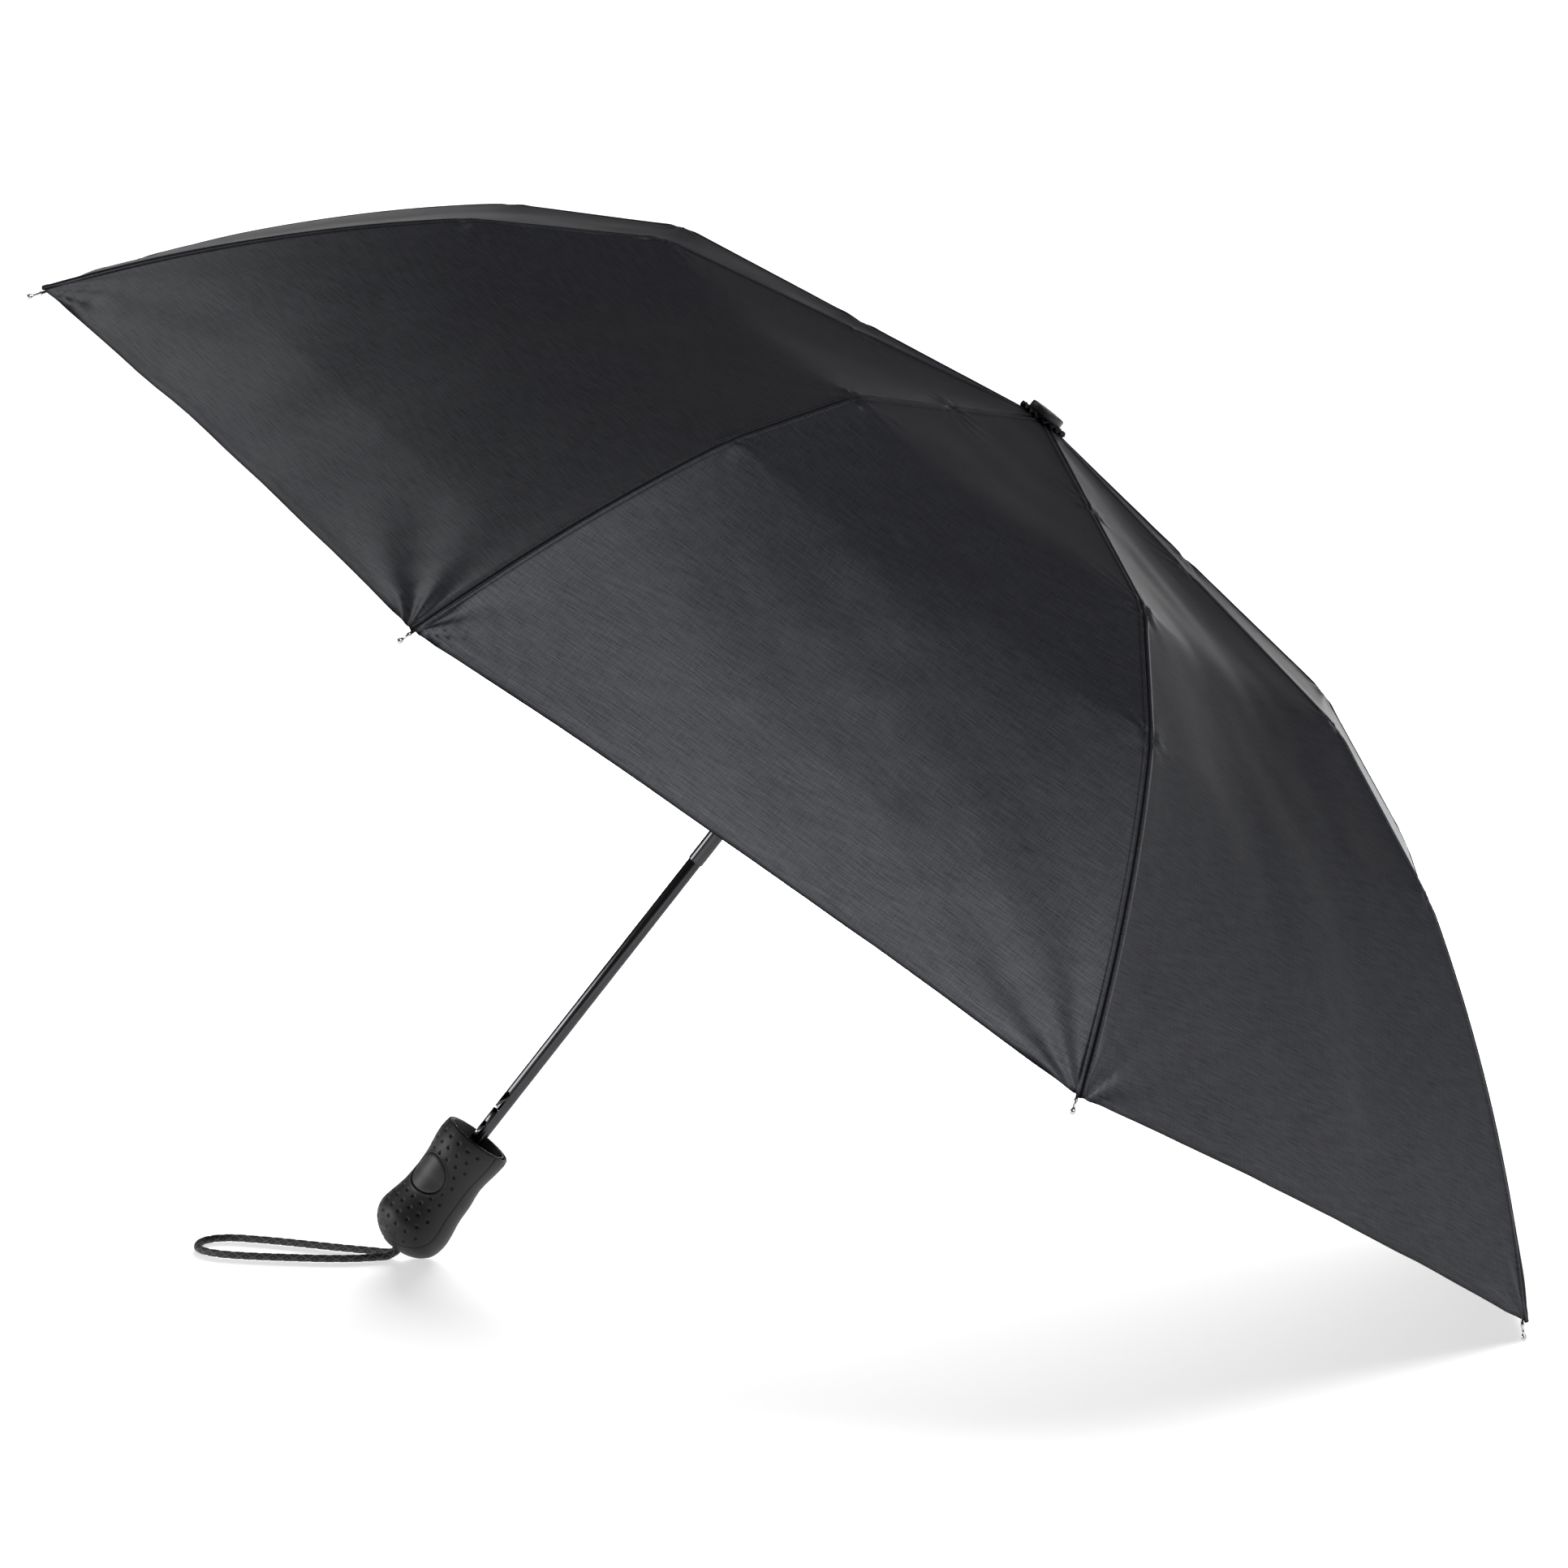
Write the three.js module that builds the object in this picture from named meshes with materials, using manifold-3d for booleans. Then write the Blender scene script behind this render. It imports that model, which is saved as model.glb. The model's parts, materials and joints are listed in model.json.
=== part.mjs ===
// Folding umbrella, open, resting on two rib tips and the heel of its handle. Millimetres, +Z up.
// It is drawn standing on its shaft: Z runs up the shaft, the rib tips lie in the plane Z = 0, and
// X points to the side that faces the floor. One turned group then leans it over onto the floor.
import * as THREE from 'three';
import { mergeVertices } from 'three/addons/utils/BufferGeometryUtils.js';
import Module from 'manifold-3d';

// ---- Driving dimensions -------------------------------------------------------------------------
const RIB_COUNT = 8;
const GAP = 0.35; // clearance between neighbouring pieces

// Ribs: pivots as [distance from the shaft axis, height above the tip plane]
const TIP_RADIUS = 470; // centres of the balls on the rib tips
const BALL_RADIUS = 1.4;
const CROWN_PIVOT = [8.5, 210];
const BEND_PIVOT = [218.6, 182.4]; // top rib to middle rib
const STEP_PIVOT = [306.2, 140.4]; // middle rib to outer rib
const OUTER_BOW = 6.5; // how far the outer rib bows out from its chord
const STRETCHER_REACH = 101.5; // along the top rib, from the crown pivot
const RUNNER_PIVOT = [8.5, 126];
const RIB_GIVE = THREE.MathUtils.degToRad(2.05); // how far a rib gives way at its crown and bend pivots
const LANE = 2.25; // sideways offset of the pieces that fold past the top rib
const RIB_DEPTH = 2.6;
const TOP_RIB_WIDTH = 2.4;
const BLADE_WIDTH = 1.4; // middle ribs and stretchers
const OUTER_ROD_RADIUS = 1;
const PIN_RADIUS = 0.55;
const PIN_CLEARANCE = 0.3;
const TIP_PIN_LENGTH = 11;

// Canopy: the ridge over each rib as [radius, height], and how far along it the same places lie
const CANOPY_THICKNESS = 0.8;
const RIDGE_START = [3.4, 218.3];
const RIDGE_CROWN = [12, 217.3];
const RIDGE_BEND = [219.8, 186.1];
const RIDGE_STEP = [308.7, 143.5];
const RIDGE_END = [467.4, 6.9];
const RIDGE_LENGTH = 526; // from the start to the end, along its bow
const CROWN_SHARE = 0.03;
const BEND_SHARE = 0.42;
const STEP_SHARE = 0.6;
const HEM_HOLLOW = 3.5; // how far the hem curves in between two tips
const PANEL_HOLLOW = 5; // how far a panel's middle lies inside the chord between two ridges

// Shaft and crown
const UPPER_TUBE_RADIUS = 4.2;
const LOWER_TUBE_RADIUS = 3.65;
const TUBE_WALL = 0.45;
const UPPER_TUBE_END = -65; // lower end of the upper tube
const TUBE_OVERLAP = 26;
const CROWN_RADIUS = 10.5;
const CAP_TOP = 224;
const CAP_RADIUS = 9.6;
const RUNNER_SLEEVE_RADIUS = 6.3;
const RUNNER_LENGTH = 77.9; // from its pivots to the bottom of its sleeve

// Handle: depths are measured down the shaft axis from the rim of the cup
const RIM = -245.7;
const GRIP_WALL = 1.8;
const CUP_DEPTH = 15.4;
const BUTTON_DEPTH = 27;
const BUTTON_SIZE = [19, 19]; // around the grip, along the grip
const FRONT_ANGLE = THREE.MathUtils.degToRad(-130); // the way the button faces, about the shaft
const HEEL = { depth: 57.5, radius: 7.7, round: 12 }; // the rounded corner that rests on the floor
const CORD_DIAMETER = 2.9;
const CORD_HOLE = [3, 3.6]; // two holes, each side of the end cap's centre line

// ---- Leaning the umbrella on the floor ----------------------------------------------------------
const halfStep = Math.PI / RIB_COUNT;

// The angle of a rib about the shaft, from the side that faces the floor.
function spokeAngle(rib) {
  return halfStep * (2 * rib + 1);
}

// Its weight spreads the ribs on the floor's side, and lets the upper ones droop.
function ribGive(rib) {
  return RIB_GIVE * Math.cos(spokeAngle(rib));
}

function lifted([radius, height], [pivotRadius, pivotHeight], angle) {
  const [out, up] = [radius - pivotRadius, height - pivotHeight];
  return [
    pivotRadius + out * Math.cos(angle) - up * Math.sin(angle),
    pivotHeight + up * Math.cos(angle) + out * Math.sin(angle),
  ];
}

// Where a point of a rib, or of the ridge over it, comes to lie under the umbrella's own weight.
function settled(point, rib, pastBend) {
  const bent = pastBend ? lifted(point, BEND_PIVOT, ribGive(rib)) : point;
  return lifted(bent, CROWN_PIVOT, ribGive(rib));
}

const [tipOut, tipHeight] = settled([TIP_RADIUS, 0], 0, true);
const tipReach = tipOut * Math.cos(spokeAngle(0));
const heelDrop = tipHeight - (RIM - HEEL.depth);
const lean = Math.atan2(tipReach - HEEL.radius, heelDrop)
  + Math.asin((BALL_RADIUS - HEEL.round) / Math.hypot(tipReach - HEEL.radius, heelDrop));

const frontDegrees = THREE.MathUtils.radToDeg(FRONT_ANGLE);

// ---- Solids -------------------------------------------------------------------------------------
const wasm = await Module();
wasm.setup();

function toSolid(geometry) {
  const bare = new THREE.BufferGeometry();
  bare.setAttribute('position', geometry.getAttribute('position').clone());
  bare.setIndex(geometry.index);
  const merged = mergeVertices(bare, 1e-4);
  const corners = [];
  for (let i = 0; i < merged.index.count; i += 3) {
    const triangle = [0, 1, 2].map((step) => merged.index.getX(i + step));
    if (new Set(triangle).size === 3) {
      corners.push(...triangle);
    }
  }
  return new wasm.Manifold(new wasm.Mesh({
    numProp: 3,
    vertProperties: new Float32Array(merged.getAttribute('position').array),
    triVerts: new Uint32Array(corners),
  }));
}

function toGeometry(solid) {
  const mesh = solid.getMesh();
  const geometry = new THREE.BufferGeometry();
  geometry.setAttribute('position', new THREE.BufferAttribute(mesh.vertProperties, 3));
  geometry.setIndex(new THREE.BufferAttribute(mesh.triVerts, 1));
  geometry.computeVertexNormals();
  return geometry;
}

function join(first, ...others) {
  return others.reduce((solid, other) => solid.add(other), first);
}

function cut(first, ...others) {
  return others.reduce((solid, other) => solid.subtract(other), first);
}

// A closed solid turned about Z from [radius, height] pairs.
function turned(profile, segments) {
  const points = profile.map(([radius, height]) => new THREE.Vector2(radius, height));
  const geometry = new THREE.LatheGeometry(points, segments);
  geometry.rotateX(Math.PI / 2);
  return geometry;
}

// A ring with a rectangular section.
function collar(inner, outer, bottom, top, segments) {
  return toSolid(turned([
    [inner, bottom], [outer, bottom], [outer, top], [inner, top], [inner, bottom],
  ], segments));
}

function disc(radius, bottom, top, segments) {
  return toSolid(turned([[0, bottom], [radius, bottom], [radius, top], [0, top]], segments));
}

function box(low, high) {
  const size = high.map((value, axis) => value - low[axis]);
  const geometry = new THREE.BoxGeometry(...size);
  geometry.translate(...low.map((value, axis) => value + size[axis] / 2));
  return toSolid(geometry);
}

// A pin across a rib, at [radius, height], between two sideways offsets.
function crossPin([radius, height], pinRadius, from, to) {
  const geometry = new THREE.CylinderGeometry(pinRadius, pinRadius, to - from, 8);
  geometry.translate(radius, (from + to) / 2, height);
  return toSolid(geometry);
}

// A straight bar between two [radius, height] points, with its section as [sideways, deep] pairs.
function bar(section, from, to, lane = 0) {
  const shape = new THREE.Shape(section.map(([side, deep]) => new THREE.Vector2(side, deep)));
  const start = new THREE.Vector3(from[0], lane, from[1]);
  const end = new THREE.Vector3(to[0], lane, to[1]);
  const along = end.clone().sub(start);
  const length = along.length();
  const geometry = new THREE.ExtrudeGeometry(shape, { depth: length, bevelEnabled: false });
  along.normalize();
  const side = new THREE.Vector3(0, 1, 0);
  const deep = along.clone().cross(side);
  geometry.applyMatrix4(new THREE.Matrix4().makeBasis(side, deep, along).setPosition(start));
  return toSolid(geometry);
}

// A round rod or wire along a curve.
function rod(curve, radius, sides, steps) {
  const shape = new THREE.Shape();
  for (let i = 0; i < sides; i += 1) {
    const angle = (2 * Math.PI * i) / sides;
    const place = [radius * Math.cos(angle), radius * Math.sin(angle)];
    if (i === 0) {
      shape.moveTo(...place);
    } else {
      shape.lineTo(...place);
    }
  }
  return toSolid(new THREE.ExtrudeGeometry(shape, { steps, bevelEnabled: false, extrudePath: curve }));
}

function finish(color, roughness, metalness) {
  return new THREE.MeshStandardMaterial({ color, roughness, metalness });
}

const finishes = {
  fabric: () => finish(0x232326, 0.75, 0),
  softGrip: () => finish(0x1c1c1d, 0.7, 0),
  plastic: () => finish(0x161617, 0.45, 0),
  blackSteel: () => finish(0x1b1c1e, 0.3, 0.8),
  steel: () => finish(0xb9bcc0, 0.3, 1),
  cord: () => finish(0x141415, 0.85, 0),
};

const umbrella = new THREE.Group();
umbrella.rotation.y = Math.PI / 2 - lean;
umbrella.position.z = BALL_RADIUS + tipReach * Math.cos(lean) - tipHeight * Math.sin(lean);

function place(parent, name, solid, material) {
  const mesh = new THREE.Mesh(toGeometry(solid), material);
  mesh.name = name;
  parent.add(mesh);
}

// ---- Ribs ---------------------------------------------------------------------------------------
function channelSection(width, depth, wall) {
  const half = width / 2;
  const top = depth / 2;
  return [
    [-half, -top], [-half, top], [half, top], [half, -top],
    [half - wall, -top], [half - wall, top - wall], [wall - half, top - wall], [wall - half, -top],
  ];
}

function bladeSection(width, depth) {
  const half = width / 2;
  return [[-half, -depth / 2], [-half, depth / 2], [half, depth / 2], [half, -depth / 2]];
}

// The point a given way along the line between two points; negative starts before the first one.
function along(from, to, distance) {
  const length = Math.hypot(to[0] - from[0], to[1] - from[1]);
  return from.map((value, axis) => value + ((to[axis] - value) * distance) / length);
}

function span(from, to) {
  return Math.hypot(to[0] - from[0], to[1] - from[1]);
}

const holeRadius = PIN_RADIUS + PIN_CLEARANCE;
const halfTop = TOP_RIB_WIDTH / 2;
const halfBlade = BLADE_WIDTH / 2;

function topRib() {
  const overhang = 1.6;
  const length = span(CROWN_PIVOT, BEND_PIVOT);
  const channel = bar(
    channelSection(TOP_RIB_WIDTH, RIB_DEPTH, 0.45),
    along(CROWN_PIVOT, BEND_PIVOT, -overhang),
    along(CROWN_PIVOT, BEND_PIVOT, length + overhang),
  );
  return cut(
    channel,
    crossPin(CROWN_PIVOT, holeRadius, -halfTop - 1, halfTop + 1),
    crossPin(BEND_PIVOT, holeRadius, -halfTop - 1, halfTop + 1),
  );
}

// The middle rib carries both pins: one through the top rib, and one across to the outer rib.
function middleRib() {
  const overhang = 1.3;
  const headLength = 0.6;
  const length = span(BEND_PIVOT, STEP_PIVOT);
  const blade = bar(
    bladeSection(BLADE_WIDTH, RIB_DEPTH),
    along(BEND_PIVOT, STEP_PIVOT, -overhang),
    along(BEND_PIVOT, STEP_PIVOT, length + overhang),
    -LANE,
  );
  const topPinEnd = halfTop + GAP;
  const outerPinEnd = LANE + halfBlade + GAP;
  return join(
    blade,
    crossPin(BEND_PIVOT, PIN_RADIUS, -LANE, topPinEnd + headLength),
    crossPin(BEND_PIVOT, 1.2, topPinEnd, topPinEnd + headLength),
    crossPin(STEP_PIVOT, PIN_RADIUS, -LANE, outerPinEnd + headLength),
    crossPin(STEP_PIVOT, 1.2, outerPinEnd, outerPinEnd + headLength),
  );
}

// The outer rib is a rod that bows out from its chord and comes back under the ridge at its tip.
function outerRibPoint(share) {
  const chord = [0, 1].map((axis) => STEP_PIVOT[axis]
    + (([TIP_RADIUS, 0][axis] - STEP_PIVOT[axis]) * share));
  const length = span(STEP_PIVOT, [TIP_RADIUS, 0]);
  const bow = 4 * OUTER_BOW * share * (1 - share);
  const out = [STEP_PIVOT[1] / length, (TIP_RADIUS - STEP_PIVOT[0]) / length];
  const ease = THREE.MathUtils.smoothstep(share, 0.1, 0.7);
  return new THREE.Vector3(chord[0] + bow * out[0], LANE * (1 - ease), chord[1] + bow * out[1]);
}

function outerRibCurve(from, to, count) {
  const points = [];
  for (let i = 0; i <= count; i += 1) {
    points.push(outerRibPoint(from + ((to - from) * i) / count));
  }
  return new THREE.CatmullRomCurve3(points);
}

const outerRibEnd = 1 - TIP_PIN_LENGTH / span(STEP_PIVOT, [TIP_RADIUS, 0]);

function outerRib() {
  const shaft = rod(outerRibCurve(0.002, outerRibEnd, 10), OUTER_ROD_RADIUS, 6, 9);
  const eye = crossPin(STEP_PIVOT, 1.7, LANE - halfBlade, LANE + halfBlade);
  const hole = crossPin(STEP_PIVOT, holeRadius, LANE - 3, LANE + 3);
  return cut(join(shaft, eye), hole);
}

function ribTip() {
  const pin = rod(outerRibCurve(outerRibEnd + 0.0018, 1, 3), 0.8, 6, 2);
  const ball = new THREE.SphereGeometry(BALL_RADIUS, 8, 6);
  ball.translate(TIP_RADIUS, 0, 0);
  return join(pin, toSolid(ball));
}

// The stretcher's pin at the top rib is left open: its head stops short of the rib's side.
function stretcher() {
  const overhang = 1.4;
  const pinAtRib = along(CROWN_PIVOT, BEND_PIVOT, STRETCHER_REACH);
  const length = span(RUNNER_PIVOT, pinAtRib);
  const blade = bar(
    bladeSection(BLADE_WIDTH, RIB_DEPTH),
    along(RUNNER_PIVOT, pinAtRib, -overhang),
    along(RUNNER_PIVOT, pinAtRib, length + overhang),
    LANE,
  );
  const head = crossPin(pinAtRib, 1.2, LANE, LANE + halfBlade + 0.6);
  return cut(join(blade, head), crossPin(RUNNER_PIVOT, holeRadius, LANE - 2, LANE + 2));
}

// ---- Crown, cap and runner ----------------------------------------------------------------------
// An eight-sided wire whose flats run through the rib eyes.
function pivotWire([radius, height], wireRadius) {
  const corner = radius / Math.cos(halfStep);
  const section = [];
  for (let i = 0; i <= 6; i += 1) {
    const angle = (2 * Math.PI * i) / 6;
    section.push([corner + wireRadius * Math.cos(angle), height + wireRadius * Math.sin(angle)]);
  }
  return toSolid(turned(section, RIB_COUNT));
}

// Slots for the ends of the ribs, open outwards, in lanes beside the spoke's centre line.
function spokeSlots(lane, width, inner, outer, bottom, top) {
  const slots = [];
  for (let rib = 0; rib < RIB_COUNT; rib += 1) {
    const slot = box([inner, lane - width / 2, bottom], [outer, lane + width / 2, top]);
    slots.push(slot.rotate([0, 0, THREE.MathUtils.radToDeg(spokeAngle(rib))]));
  }
  return slots;
}

const upperBore = UPPER_TUBE_RADIUS + GAP;
const crownTop = 215;
const crownBottom = 204;
const tubeTop = 211;
const capBossRadius = 2.6;

function crown() {
  const body = join(
    collar(upperBore, CROWN_RADIUS, crownBottom, tubeTop + GAP, 24),
    collar(capBossRadius + GAP, CROWN_RADIUS, tubeTop + GAP, crownTop, 24),
  );
  return cut(
    body,
    ...spokeSlots(0, TOP_RIB_WIDTH + 2 * GAP, 6, 14, crownBottom - 1, crownTop - 2),
    pivotWire(CROWN_PIVOT, holeRadius),
  );
}

function cap() {
  const underside = CAP_TOP - 4.4;
  const bossEnd = CAP_TOP - 12;
  return toSolid(turned([
    [0, bossEnd], [capBossRadius, bossEnd], [capBossRadius, underside], [CAP_RADIUS - 0.8, underside],
    [CAP_RADIUS, underside + 0.8], [CAP_RADIUS, CAP_TOP - 1.2], [CAP_RADIUS - 1.2, CAP_TOP], [0, CAP_TOP],
  ], 28));
}

function runner() {
  const [, pivot] = RUNNER_PIVOT;
  const bore = UPPER_TUBE_RADIUS + GAP;
  const bottom = pivot - RUNNER_LENGTH;
  const body = join(
    collar(bore, CROWN_RADIUS, pivot - 4.5, pivot + 3, 24),
    collar(bore, RUNNER_SLEEVE_RADIUS, bottom, pivot - 4, 24),
    collar(bore, 8, bottom, bottom + 1.6, 24),
  );
  const catchWindow = box([bore - 1, -2.2, bottom + 3], [12, 2.2, bottom + 13]);
  return cut(
    body,
    ...spokeSlots(LANE, BLADE_WIDTH + 2 * GAP, 6, 14, pivot - 2.6, pivot + 5),
    pivotWire(RUNNER_PIVOT, holeRadius),
    catchWindow.rotate([0, 0, frontDegrees]),
  );
}

// ---- Canopy -------------------------------------------------------------------------------------
// The ridge runs straight from the crown to the bend and to the step, then bows over the outer rib.
function ridgePoint(share) {
  const shares = [0, CROWN_SHARE, BEND_SHARE, STEP_SHARE, 1];
  const places = [RIDGE_START, RIDGE_CROWN, RIDGE_BEND, RIDGE_STEP, RIDGE_END];
  const lastLeg = places.length - 2;
  const leg = Math.min(shares.findLastIndex((start) => start <= share), lastLeg);
  const local = (share - shares[leg]) / (shares[leg + 1] - shares[leg]);
  const [from, to] = [places[leg], places[leg + 1]];
  const length = span(from, to);
  const bow = leg === lastLeg ? 4 * OUTER_BOW * local * (1 - local) : 0;
  return [
    from[0] + (to[0] - from[0]) * local + (bow * (from[1] - to[1])) / length,
    from[1] + (to[1] - from[1]) * local + (bow * (to[0] - from[0])) / length,
  ];
}

// A point of the ridge over a rib, with an offset at right angles to it.
function ridgeOver(rib, share, sink) {
  const [ahead, below] = ridgePoint(Math.min(share + 0.01, 1));
  const [behind, above] = ridgePoint(Math.max(share - 0.01, 0));
  const slope = Math.atan2(above - below, ahead - behind);
  const [radius, height] = ridgePoint(share);
  const sunk = [radius - sink * Math.sin(slope), height - sink * Math.cos(slope)];
  const [out, up] = share > CROWN_SHARE ? settled(sunk, rib, share > BEND_SHARE) : sunk;
  return new THREE.Vector3(out * Math.cos(spokeAngle(rib)), out * Math.sin(spokeAngle(rib)), up);
}

// A point of the canopy: share runs down the ridge, side runs from 0 to 1 across one panel.
function canopyPoint(share, panel, side, depth) {
  const hollow = 4 * side * (1 - side);
  const here = share * (1 - (share * share * HEM_HOLLOW * hollow) / RIDGE_LENGTH);
  const sink = depth + PANEL_HOLLOW * hollow * Math.sin(Math.PI * Math.min(here * 1.15, 1));
  return ridgeOver(panel, here, sink).lerp(ridgeOver(panel + 1, here, sink), side).toArray();
}

function canopy() {
  const topRows = [0, CROWN_SHARE, 0.12, 0.24, 0.34, BEND_SHARE];
  const rows = [...topRows, 0.51, STEP_SHARE, 0.68, 0.76, 0.84, 0.92, 1];
  const panelSteps = 4;
  const columns = RIB_COUNT * panelSteps;
  const positions = [];
  for (const depth of [0, CANOPY_THICKNESS]) {
    for (const share of rows) {
      for (let column = 0; column < columns; column += 1) {
        const side = (column % panelSteps) / panelSteps;
        positions.push(...canopyPoint(share, Math.floor(column / panelSteps), side, depth));
      }
    }
  }
  const sheet = rows.length * columns;
  const corners = [];
  const quad = (a, b, c, d) => corners.push(a, b, c, a, c, d);
  for (let column = 0; column < columns; column += 1) {
    const next = (column + 1) % columns;
    for (let row = 0; row + 1 < rows.length; row += 1) {
      const [here, below] = [row * columns, (row + 1) * columns];
      quad(here + column, below + column, below + next, here + next);
      quad(sheet + here + next, sheet + below + next, sheet + below + column, sheet + here + column);
    }
    const hem = (rows.length - 1) * columns;
    quad(column, next, sheet + next, sheet + column);
    quad(hem + next, hem + column, sheet + hem + column, sheet + hem + next);
  }
  const geometry = new THREE.BufferGeometry();
  geometry.setAttribute('position', new THREE.Float32BufferAttribute(positions, 3));
  geometry.setIndex(corners);
  return toSolid(geometry);
}

// ---- Shaft --------------------------------------------------------------------------------------
function coil(radius, wireRadius, bottom, top, turns, stepsPerTurn, sides) {
  const points = [];
  const count = turns * stepsPerTurn;
  for (let i = 0; i <= count; i += 1) {
    const angle = (2 * Math.PI * i) / stepsPerTurn;
    const height = bottom + ((top - bottom) * i) / count;
    points.push(new THREE.Vector3(radius * Math.cos(angle), radius * Math.sin(angle), height));
  }
  return rod(new THREE.CatmullRomCurve3(points), wireRadius, sides, count);
}

function upperTube() {
  return collar(UPPER_TUBE_RADIUS - 0.38, UPPER_TUBE_RADIUS, UPPER_TUBE_END, tubeTop, 24);
}

function openingSpring() {
  return coil(2.7, 0.45, lowerTubeTop + 1.5, tubeTop - 2, 14, 8, 4);
}

const lowerTubeTop = UPPER_TUBE_END + TUBE_OVERLAP;
const lowerTubeEnd = RIM - 50;

// A slot with round ends through the front wall of the lower tube.
function tubeSlot(bottom, top, width) {
  const end = width / 2;
  const ends = [bottom + end, top - end].map((height) => {
    const cylinder = new THREE.CylinderGeometry(end, end, 6, 12);
    cylinder.rotateZ(Math.PI / 2);
    cylinder.translate(LOWER_TUBE_RADIUS, 0, height);
    return toSolid(cylinder);
  });
  const middle = box([LOWER_TUBE_RADIUS - 3, -end, bottom + end], [LOWER_TUBE_RADIUS + 3, end, top - end]);
  return join(middle, ...ends).rotate([0, 0, frontDegrees]);
}

const catchSlot = [RIM + 16.6, RIM + 29.6];
const releaseSlot = [RIM - 1, RIM + 10.6];

function lowerTube() {
  const tube = collar(LOWER_TUBE_RADIUS - TUBE_WALL, LOWER_TUBE_RADIUS, lowerTubeEnd, lowerTubeTop, 24);
  return cut(
    tube,
    tubeSlot(...catchSlot, 3.4),
    tubeSlot(...releaseSlot, 3.4),
    tubePin(tubePinRadius + GAP, 8),
  );
}

// The catch leaf stands inside the tube, with one fin for the runner and one that the button frees.
function catchLeaf() {
  const leafWidth = 1.6;
  const fin = (bottom, low, high, top) => new THREE.Shape([
    new THREE.Vector2(1.1, bottom), new THREE.Vector2(4.9, low),
    new THREE.Vector2(4.9, high), new THREE.Vector2(1.1, top),
  ]);
  const thicken = (shape) => {
    const geometry = new THREE.ExtrudeGeometry(shape, { depth: leafWidth, bevelEnabled: false });
    geometry.rotateX(Math.PI / 2);
    geometry.translate(0, leafWidth / 2, 0);
    return toSolid(geometry);
  };
  const leaf = box([0.2, -leafWidth / 2, RIM - 19], [1.4, leafWidth / 2, RIM + 27]);
  return join(
    leaf,
    thicken(fin(RIM + 18.6, RIM + 19.2, RIM + 21, RIM + 26.5)),
    thicken(fin(RIM + 0.6, RIM + 1.4, RIM + 4.5, RIM + 9)),
  ).rotate([0, 0, frontDegrees]);
}

// ---- Handle -------------------------------------------------------------------------------------
// The grip's outline as [radius, depth]: flared rim, waist, swell, then the rounded heel.
function gripOutline(inset) {
  const swell = [
    [18.2, 0], [18.8, 3.5], [18.4, 10], [17.2, 17], [16.9, 25], [17.6, 36], [19.4, 48], [20, 53.5],
  ].map(([radius, depth]) => [radius - inset, depth]);
  const heel = [];
  const steps = 5;
  for (let i = 0; i <= steps; i += 1) {
    const angle = (Math.PI / 2) * (i / steps);
    const round = HEEL.round - inset;
    heel.push([HEEL.radius + round * Math.cos(angle), HEEL.depth + round * Math.sin(angle)]);
  }
  return [...swell, ...heel];
}

// The thumb side of the grip is a little more waisted than its back.
function thumbHollow(geometry) {
  const position = geometry.getAttribute('position');
  for (let i = 0; i < position.count; i += 1) {
    const [x, y, z] = [position.getX(i), position.getY(i), position.getZ(i)];
    const depth = RIM - z;
    const facing = (1 + Math.cos(Math.atan2(y, x) - FRONT_ANGLE)) / 2;
    const squeeze = 1 - 0.07 * facing * Math.exp(-(((depth - 32) / 13) ** 2));
    position.setXY(i, x * squeeze, y * squeeze);
  }
  return geometry;
}

function gripBody(inset, top, bottom) {
  const inside = gripOutline(inset).filter(([, depth]) => depth > top && depth < bottom);
  const widest = gripOutline(inset)[0][0];
  const lowest = inside[inside.length - 1][0];
  const profile = [[0, top], [widest, top], ...inside, [lowest, bottom], [0, bottom]];
  const heights = profile.map(([radius, depth]) => [radius, RIM - depth]).reverse();
  return toSolid(thumbHollow(turned(heights, 28)));
}

// An egg-shaped prism that points out of the front of the grip, between two radii.
function buttonPrism(margin, from, to) {
  const points = [];
  const steps = 20;
  for (let i = 0; i < steps; i += 1) {
    const angle = (2 * Math.PI * i) / steps;
    const lowerIsWider = 1 - 0.1 * Math.sin(angle);
    points.push(new THREE.Vector2(
      (BUTTON_SIZE[0] / 2 + margin) * Math.cos(angle) * lowerIsWider,
      (BUTTON_SIZE[1] / 2 + margin) * Math.sin(angle),
    ));
  }
  const shape = new THREE.Shape(points);
  const geometry = new THREE.ExtrudeGeometry(shape, { depth: to - from, bevelEnabled: false });
  const outwards = new THREE.Matrix4().makeBasis(
    new THREE.Vector3(0, 1, 0),
    new THREE.Vector3(0, 0, 1),
    new THREE.Vector3(1, 0, 0),
  );
  geometry.applyMatrix4(outwards.setPosition(from, 0, RIM - BUTTON_DEPTH));
  return toSolid(geometry).rotate([0, 0, frontDegrees]);
}

const heelEnd = HEEL.depth + HEEL.round;
const cavityEnd = 64;
const seam = 1.3; // the seam plane between the grip's two shells, in front of the axis
const buttonInside = 13.6; // the button's inner face, from the shaft axis
const pocketInside = 11.4;
const springWell = { radius: 3.3, inside: 7 };
const tubePinDepth = 44;
const tubePinRadius = 1.2;
const endCapRadius = 7.2;
const knotDepth = 60;

function frontBlock(start, bottom) {
  return box([start, -30, RIM - bottom], [30, 30, RIM + 5]).rotate([0, 0, frontDegrees]);
}

function gripShell() {
  return cut(
    gripBody(0, 0, heelEnd),
    gripBody(GRIP_WALL, -1, cavityEnd),
    disc(endCapRadius + GAP, RIM - heelEnd - 1, RIM - cavityEnd + 1, 24),
  );
}

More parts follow.
